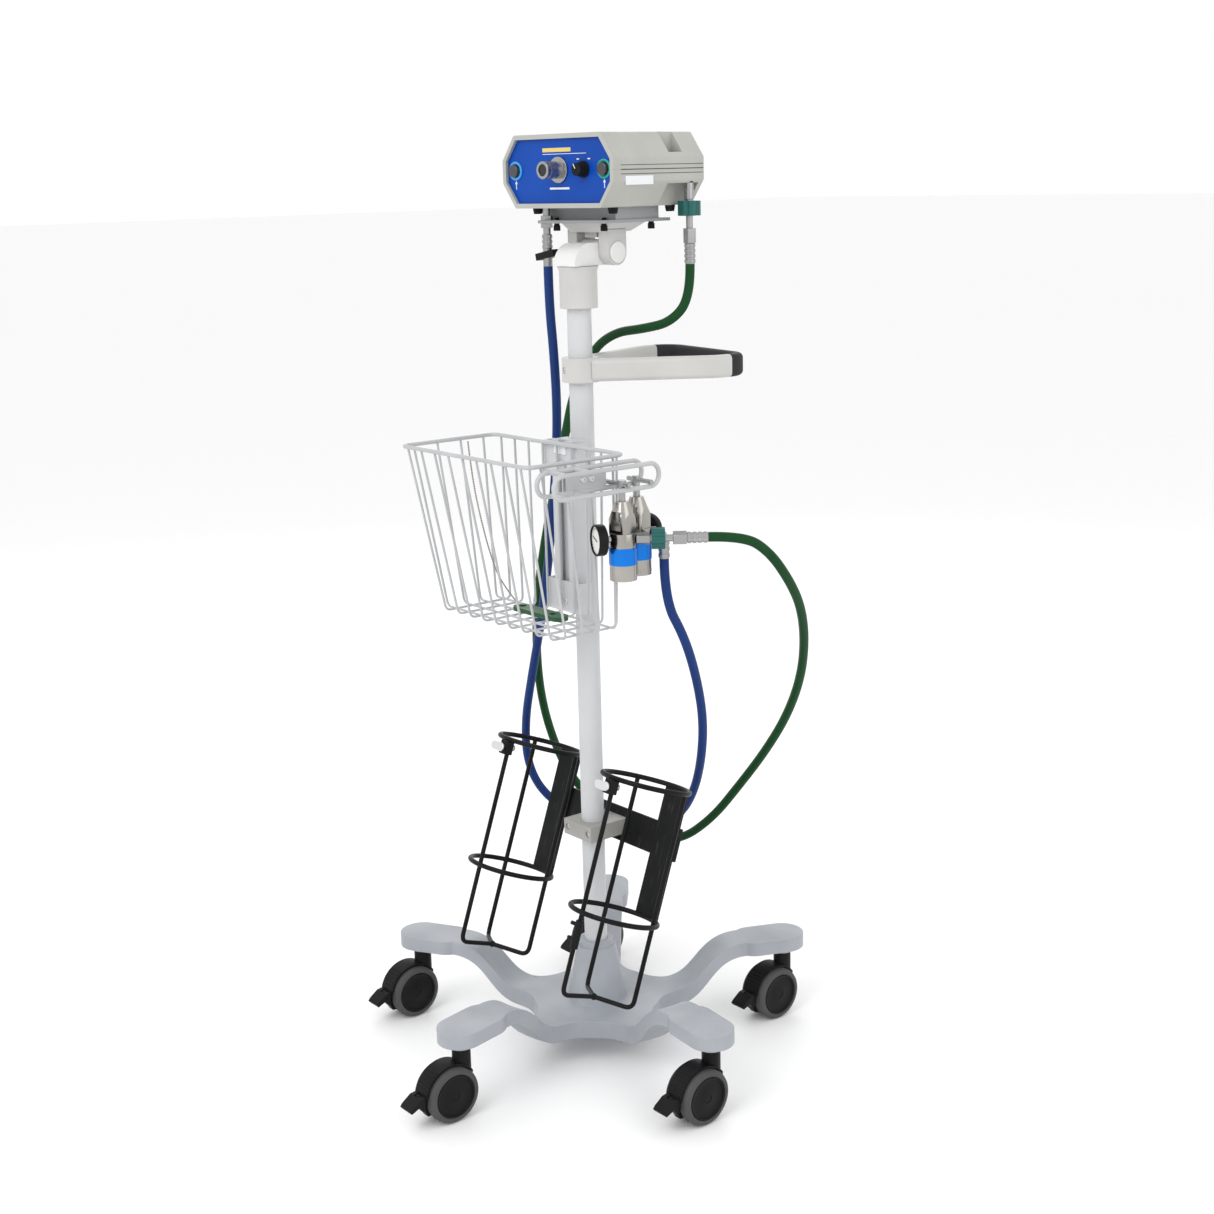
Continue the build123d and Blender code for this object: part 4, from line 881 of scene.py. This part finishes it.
@dataclass
class Regulators:
    """Two cylinder regulators that hang by their tommy bars."""

    frame: Frame
    places: tuple[tuple[float, float], ...] = ((0.172, -0.075), (0.1575, -0.039))
    gauge_turn: tuple[float, ...] = (-20.0, -152.0)
    gauge_z: float = 0.763
    gauge_reach: float = 0.024
    gauge_radius: float = 0.020
    gauge_depth: float = 0.013

    def gauge(self, index: int) -> None:
        """Make one gauge: black case, white dial, scale marks and a needle.

        Args:
            index: 0 for the oxygen gauge, 1 for the nitrous one.
        """
        a = math.radians(self.gauge_turn[index])
        out = np.array([math.sin(a), -math.cos(a), 0.0])
        side = np.array([math.cos(a), math.sin(a), 0.0])
        back = np.array([*self.places[index], self.gauge_z]) + out * self.gauge_reach
        r, d = self.gauge_radius, self.gauge_depth
        case = np.array([(0.0, 0.0), (r - 0.003, 0.0), (r - 0.0008, 0.001), (r, 0.003), (r, d - 0.0012),
                         (r - 0.0008, d), (r - 0.002, d), (r - 0.0024, d - 0.0022), (0.0, d - 0.0022)])
        node = "regulator_gauges"
        body = Surface().turned(case, back, out, 64).piece(f"gauge_{index}_case", BLACK_PLASTIC)
        self.frame.add(body, node, replaces=index == 0)
        face = np.array([(r - 0.0026, d - 0.0021), (0.0, d - 0.00205)])
        dial = Surface().turned(face, back, out, 48).piece(f"gauge_{index}_dial", DIAL_WHITE)
        self.frame.add(dial, node)
        marks = Surface()
        up = np.array([0.0, 0.0, 1.0])
        for degrees in np.linspace(-135.0, 135.0, 19):
            b = math.radians(degrees)
            ray = math.cos(b) * up + math.sin(b) * side
            path = back + out * (d - 0.0019) + np.outer((0.0135, 0.0160), ray)
            marks.tube(path, 0.00025, 6)
        needle = back + out * (d - 0.0014) + np.outer((-0.004, 0.012), 0.3 * up - 0.95 * side)
        marks.tube(needle, 0.0005, 6)
        self.frame.add(marks.piece(f"gauge_{index}_marks", PRINT_BLACK), node)

    def build(self) -> None:
        """Make the gauges and dress the cast and turned pieces."""
        for index in range(2):
            self.gauge(index)
        self.frame.dress("regulator_yokes", NICKEL, 0.0009, angle=36.0)
        self.frame.dress("regulator_sleeves", BLUE_METAL, 0.0005)
        self.frame.dress("oxygen_tee_screw", TURNED, 0.0004)
        self.frame.dress("nitrous_tee_screw", TURNED, 0.0004)
        self.frame.dress("lower_hose_fittings", TURNED, 0.0003)
        self.frame.dress("outlet_hand_nut", NUT_GREEN, 0.0006)
        self.caps()

    def caps(self) -> None:
        """Fine knurling round each regulator's bottom cap: the radius ripples as a cosine round it."""
        node = "regulator_yokes"
        for index, (x, y) in enumerate(self.places):
            profile = np.array([(0.0169, 0.0005), (0.0173, 0.001), (0.0173, 0.0055), (0.0169, 0.006)])
            band = Surface().turned(profile, (x, y, 0.712), (0, 0, 1), 240, 60, 0.02)
            self.frame.add(band.piece(f"cap_band_{index}", NICKEL), node)


# --- handle, neck and head ----------------------------------------------------------------------
@dataclass
class PushHandle:
    """The moulded loop with its soft grip and the screw recess at the hub."""

    frame: Frame

    def build(self) -> None:
        """Dress the loop and the grip."""
        self.frame.dress("handle_frame", WARM_PLASTIC, 0.0012, angle=40.0)
        self.frame.dress("handle_grip", GRIP, 0.0006, angle=40.0)


@dataclass
class MixerHead:
    """The swivelling neck, the tilt head and the gas mixer on its tray."""

    frame: Frame
    turn: float = HEAD_TURN
    case_y: float = 0.050
    width: float = 0.205
    depth: float = 0.168
    panel_z: float = 1.214
    split_z: float = 1.2125
    face_y: float = -0.0288
    indicator_x: float = 0.082
    knob_x: float = 0.045
    knob_front: float = 0.0148
    pointer_length: float = 0.0085
    pointer_lean: float = -30.0
    ring_radius: float = 0.0107
    ring_wire: float = 0.0013

    def placed(self, points: Points) -> Points:
        """Points of the head's own frame in the row frame."""
        return turned_about_z(points, self.turn)

    def bar(self, x: tuple[float, float], z: tuple[float, float], y: float, thick: float = 0.0003) -> Surface:
        """A thin raised bar printed on a face that looks along -y.

        Args:
            x: its limits across.
            z: its limits in height.
            y: the face it lies on.
            thick: how far it stands out.

        Returns:
            The surface.
        """
        outline = np.array([(x[0], y, z[0]), (x[0], y, z[1]), (x[1], y, z[1]), (x[1], y, z[0])])
        lift = self.placed(np.array([[0.0, -thick, 0.0]]))[0]
        return Surface().slab(self.placed(outline), lift)

    def prints(self) -> None:
        """Plain bars, arrows and ticks printed on the panel in place of lettering."""
        y, z = self.face_y, self.panel_z
        gold = self.bar((-0.030, 0.022), (z + 0.0225, z + 0.0275), y)
        self.frame.add(gold.piece("print_band", PRINT_GOLD), "front_panel")
        line = self.bar((-0.030, 0.050), (z + 0.0195, z + 0.0202), y)
        self.frame.add(line.piece("print_line", PRINT_WHITE), "front_panel")
        under = self.bar((-0.018, 0.018), (z - 0.0245, z - 0.0220), y)
        self.frame.add(under.piece("print_outlet", PRINT_WHITE), "front_panel")
        for number, x in enumerate((self.knob_x - 0.010, self.knob_x + 0.010)):
            tick = self.bar((x - 0.0022, x + 0.0022), (z + 0.0120, z + 0.0136), y)
            self.frame.add(tick.piece(f"print_tick_{number}", PRINT_WHITE), "front_panel")
        for number, x in enumerate((-self.indicator_x, self.indicator_x)):
            stem = self.bar((x - 0.0006, x + 0.0006), (z - 0.0235, z - 0.0165), y)
            self.frame.add(stem.piece(f"arrow_stem_{number}", PRINT_WHITE), "front_panel")
            tip = np.array([(x - 0.0022, y, z - 0.0168), (x, y, z - 0.0125), (x + 0.0022, y, z - 0.0168)])
            lift = self.placed(np.array([[0.0, -0.0003, 0.0]]))[0]
            head = Surface().slab(self.placed(tip), lift)
            self.frame.add(head.piece(f"arrow_tip_{number}", PRINT_WHITE), "front_panel")

    def grooves(self) -> None:
        """Seam and two trim lines round the sides and back of the case's upright band."""
        half = self.width / 2 + 0.0001
        front, back = self.case_y - self.depth / 2 + 0.014, self.case_y + self.depth / 2 + 0.0001
        lines = ((self.split_z, 0.0005), (self.split_z + 0.0055, 0.00035), (self.split_z - 0.0055, 0.00035))
        for number, (z, radius) in enumerate(lines):
            corners = np.array([(-half, front, z), (-half, back, z), (half, back, z), (half, front, z)])
            seam = Surface().tube(self.placed(bent_path(corners, 0.003)), radius, 8)
            self.frame.add(seam.piece(f"case_seam_{number}", PRINT_BLACK), "case_upper")

    def outlet(self) -> None:
        """Turned outlet: flange, knurled middle, plain end ring; the knurl's radius ripples round it. A black
        lining inside the bore is painted shade.
        """
        origin = self.placed(np.array([[0.0, self.face_y, self.panel_z]]))[0]
        out = self.placed(np.array([[0.0, -1.0, 0.0]]))[0]
        profile = np.array([(0.0, -0.011), (0.0095, -0.011), (0.0095, 0.0), (0.0161, 0.0), (0.0165, 0.0004),
                            (0.0165, 0.0026), (0.0161, 0.003), (0.0106, 0.003), (0.0106, 0.0235),
                            (0.0110, 0.0239), (0.0110, 0.0295), (0.0105, 0.0300), (0.0078, 0.0300),
                            (0.0075, 0.0297), (0.0075, -0.002), (0.0, -0.002)])
        body = Surface().turned(profile, origin, out, 96)
        self.frame.add(body.piece("outlet_body", TURNED), "patient_outlet", replaces=True)
        knurl = np.array([(0.0106, 0.0035), (0.0110, 0.0039), (0.0110, 0.0230), (0.0106, 0.0234)])
        band = Surface().turned(knurl, origin, out, 288, 48, 0.035)
        self.frame.add(band.piece("outlet_knurl", TURNED), "patient_outlet")
        # Black lining just inside the bore: painted shade that makes the hole read dark.
        bore = np.array([(0.0, 0.010), (0.0074, 0.010), (0.0074, 0.0285)])
        bore_painted_shade = Surface().turned(bore, origin, out, 48)
        self.frame.add(bore_painted_shade.piece("outlet_bore_painted_shade", PRINT_BLACK), "patient_outlet")

    def markers(self) -> None:
        """The knob's white pointer line and the green ring round the right indicator."""
        centre = np.array([self.knob_x, self.face_y - self.knob_front, self.panel_z])
        lean = math.radians(self.pointer_lean)
        tip = np.array([math.sin(lean), 0.0, math.cos(lean)]) * self.pointer_length
        line = Surface().tube(self.placed(np.array([centre + 0.15 * tip, centre + 0.9 * tip])), 0.0006, 8)
        self.frame.add(line.piece("knob_pointer", PRINT_WHITE), "selector_knob")
        origin = self.placed(np.array([[self.indicator_x, self.face_y, self.panel_z]]))[0]
        out = self.placed(np.array([[0.0, -1.0, 0.0]]))[0]
        across = self.placed(np.array([[1.0, 0.0, 0.0]]))[0]
        turn = np.linspace(0.0, 2.0 * np.pi, 64, endpoint=False)
        circle = np.cos(turn)[:, None] * across + np.sin(turn)[:, None] * np.array([0.0, 0.0, 1.0])
        path = origin + 0.0010 * out + self.ring_radius * circle
        band = Surface().tube(path, self.ring_wire, 10, closed=True)
        self.frame.add(band.piece("ring_green", RING_GREEN), "indicator_rings")

    def label(self) -> None:
        """A blank white label low on the case's right side, toward the front."""
        side = self.width / 2 + 0.0002
        z = (self.split_z - 0.019, self.split_z - 0.008)
        y = (self.case_y - 0.062, self.case_y - 0.012)
        corners = np.array([(side, y[0], z[0]), (side, y[1], z[0]), (side, y[1], z[1]), (side, y[0], z[1])])
        lift = self.placed(np.array([[-0.0004, 0.0, 0.0]]))[0]
        thing = Surface().slab(self.placed(corners), lift).piece("case_label", PRINT_WHITE)
        self.frame.add(thing, "case_lower")

    def build(self) -> None:
        """Dress the head's pieces and add the printed and knurled details."""
        self.frame.dress("neck", WHITE_PLASTIC, 0.0015)
        self.frame.dress("tilt_head", WARM_PLASTIC, 0.0015)
        self.frame.dress("tilt_bolt", WHITE_PLASTIC, 0.0015)
        self.frame.dress("mounting_tray", TRAY_STEEL, 0.0008)
        self.frame.dress("thumb_screws", BLACK_PLASTIC, 0.0003)
        self.frame.dress("case_lower", CASE_PLASTIC, 0.0022)
        self.frame.dress("case_upper", CASE_PLASTIC, 0.0022)
        self.frame.dress("front_panel", PANEL_BLUE, 0.0004)
        self.frame.dress("selector_knob", BLACK_PLASTIC, 0.0006)
        self.frame.dress("pressure_indicators", DARK_LENS, 0.0006)
        self.frame.dress("indicator_rings", RING_BLUE, 0.0003)
        self.frame.dress("case_feet", BLACK_PLASTIC, 0.0006)
        self.frame.dress("gas_mixer", BOX_PAINT, 0.0008)
        self.frame.dress("upper_hose_fittings", TURNED, 0.0003)
        self.frame.dress("hose_clip", BLACK_PLASTIC, 0.0006)
        self.frame.dress("inlet_hand_nut", NUT_GREEN, 0.0006)
        self.prints()
        self.grooves()
        self.outlet()
        self.markers()
        self.label()


# --- camera, light and floor --------------------------------------------------------------------
@dataclass(frozen=True)
class Studio:
    """A pale floor, soft lights and the camera."""

    eye: tuple[float, float, float] = (1.9215, -1.5031, 1.2064)
    azimuth: float = 51.33
    down: float = 13.244
    roll: float = -1.4067
    lens: float = 54.44
    sensor: float = 36.0

    def camera(self) -> None:
        """Place the camera: its axes follow from azimuth, pitch and roll."""
        a, p, r = (math.radians(value) for value in (self.azimuth, self.down, self.roll))
        ahead = Vector((-math.sin(a) * math.cos(p), math.cos(a) * math.cos(p), -math.sin(p)))
        right = Vector((math.cos(a), math.sin(a), 0.0))
        up = right.cross(ahead)
        rolled_right = right * math.cos(r) + up * math.sin(r)
        rolled_up = up * math.cos(r) - right * math.sin(r)
        lens = bpy.data.cameras.new("camera")
        lens.lens = self.lens
        lens.sensor_width = self.sensor
        camera = bpy.data.objects.new("camera", lens)
        bpy.context.scene.collection.objects.link(camera)
        axes = Matrix((rolled_right, rolled_up, -ahead)).transposed().to_4x4()
        camera.matrix_world = Matrix.Translation(self.eye) @ axes
        bpy.context.scene.camera = camera

    def lamp(self, name: str, place: Vector, size: float, power: float) -> None:
        """A square soft light that looks at the object's middle.

        Args:
            name: the light's name.
            place: where it is.
            size: its edge in metres.
            power: its power in watts.
        """
        light = bpy.data.lights.new(name, "AREA")
        light.size = size
        light.energy = power
        lamp = bpy.data.objects.new(name, light)
        bpy.context.scene.collection.objects.link(lamp)
        lamp.location = place
        lamp.rotation_euler = (Vector((0.0, 0.0, 0.65)) - place).to_track_quat("-Z", "Y").to_euler()

    def build(self) -> None:
        """Make the camera, the lights, the sky and the floor; colours are shown without a film curve."""
        self.camera()
        self.lamp("key", Vector((0.6, -2.6, 2.8)), 2.0, 40.0)
        self.lamp("fill", Vector((2.8, 0.6, 1.8)), 2.0, 12.0)
        self.lamp("rim", Vector((-2.2, 1.8, 2.4)), 1.8, 14.0)
        world = bpy.data.worlds.new("pale sky")
        world.use_nodes = True
        world.node_tree.nodes["Background"].inputs["Color"].default_value = (1.0, 1.0, 1.0, 1.0)
        world.node_tree.nodes["Background"].inputs["Strength"].default_value = 1.0
        bpy.context.scene.world = world
        bpy.context.scene.view_settings.view_transform = "Standard"
        half = 60.0
        outline = np.array([(-half, -half, -0.0006), (half, -half, -0.0006), (half, half, -0.0006),
                            (-half, half, -0.0006)])
        pale = Finish("pale floor", (0.95, 0.95, 0.95), (0.94, 0.94, 0.94), (0.6, 0.7))
        floor = Surface().slab(outline, (0.0, 0.0, 0.0004)).piece("floor", pale)
        floor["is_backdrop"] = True


def main() -> None:
    """Build the studio, the hoses and each sub-assembly."""
    logging.basicConfig(level=logging.INFO, format="%(name)s: %(message)s")
    frame = Frame()
    Studio().build()
    Hoses(frame).build()
    RollStand(frame).build()
    for number in range(1, 6):
        Caster(frame, number).build()
    CylinderHolder(frame).build()
    Basket(frame).build()
    Regulators(frame).build()
    PushHandle(frame).build()
    MixerHead(frame).build()


if __name__ == "__main__":
    main()
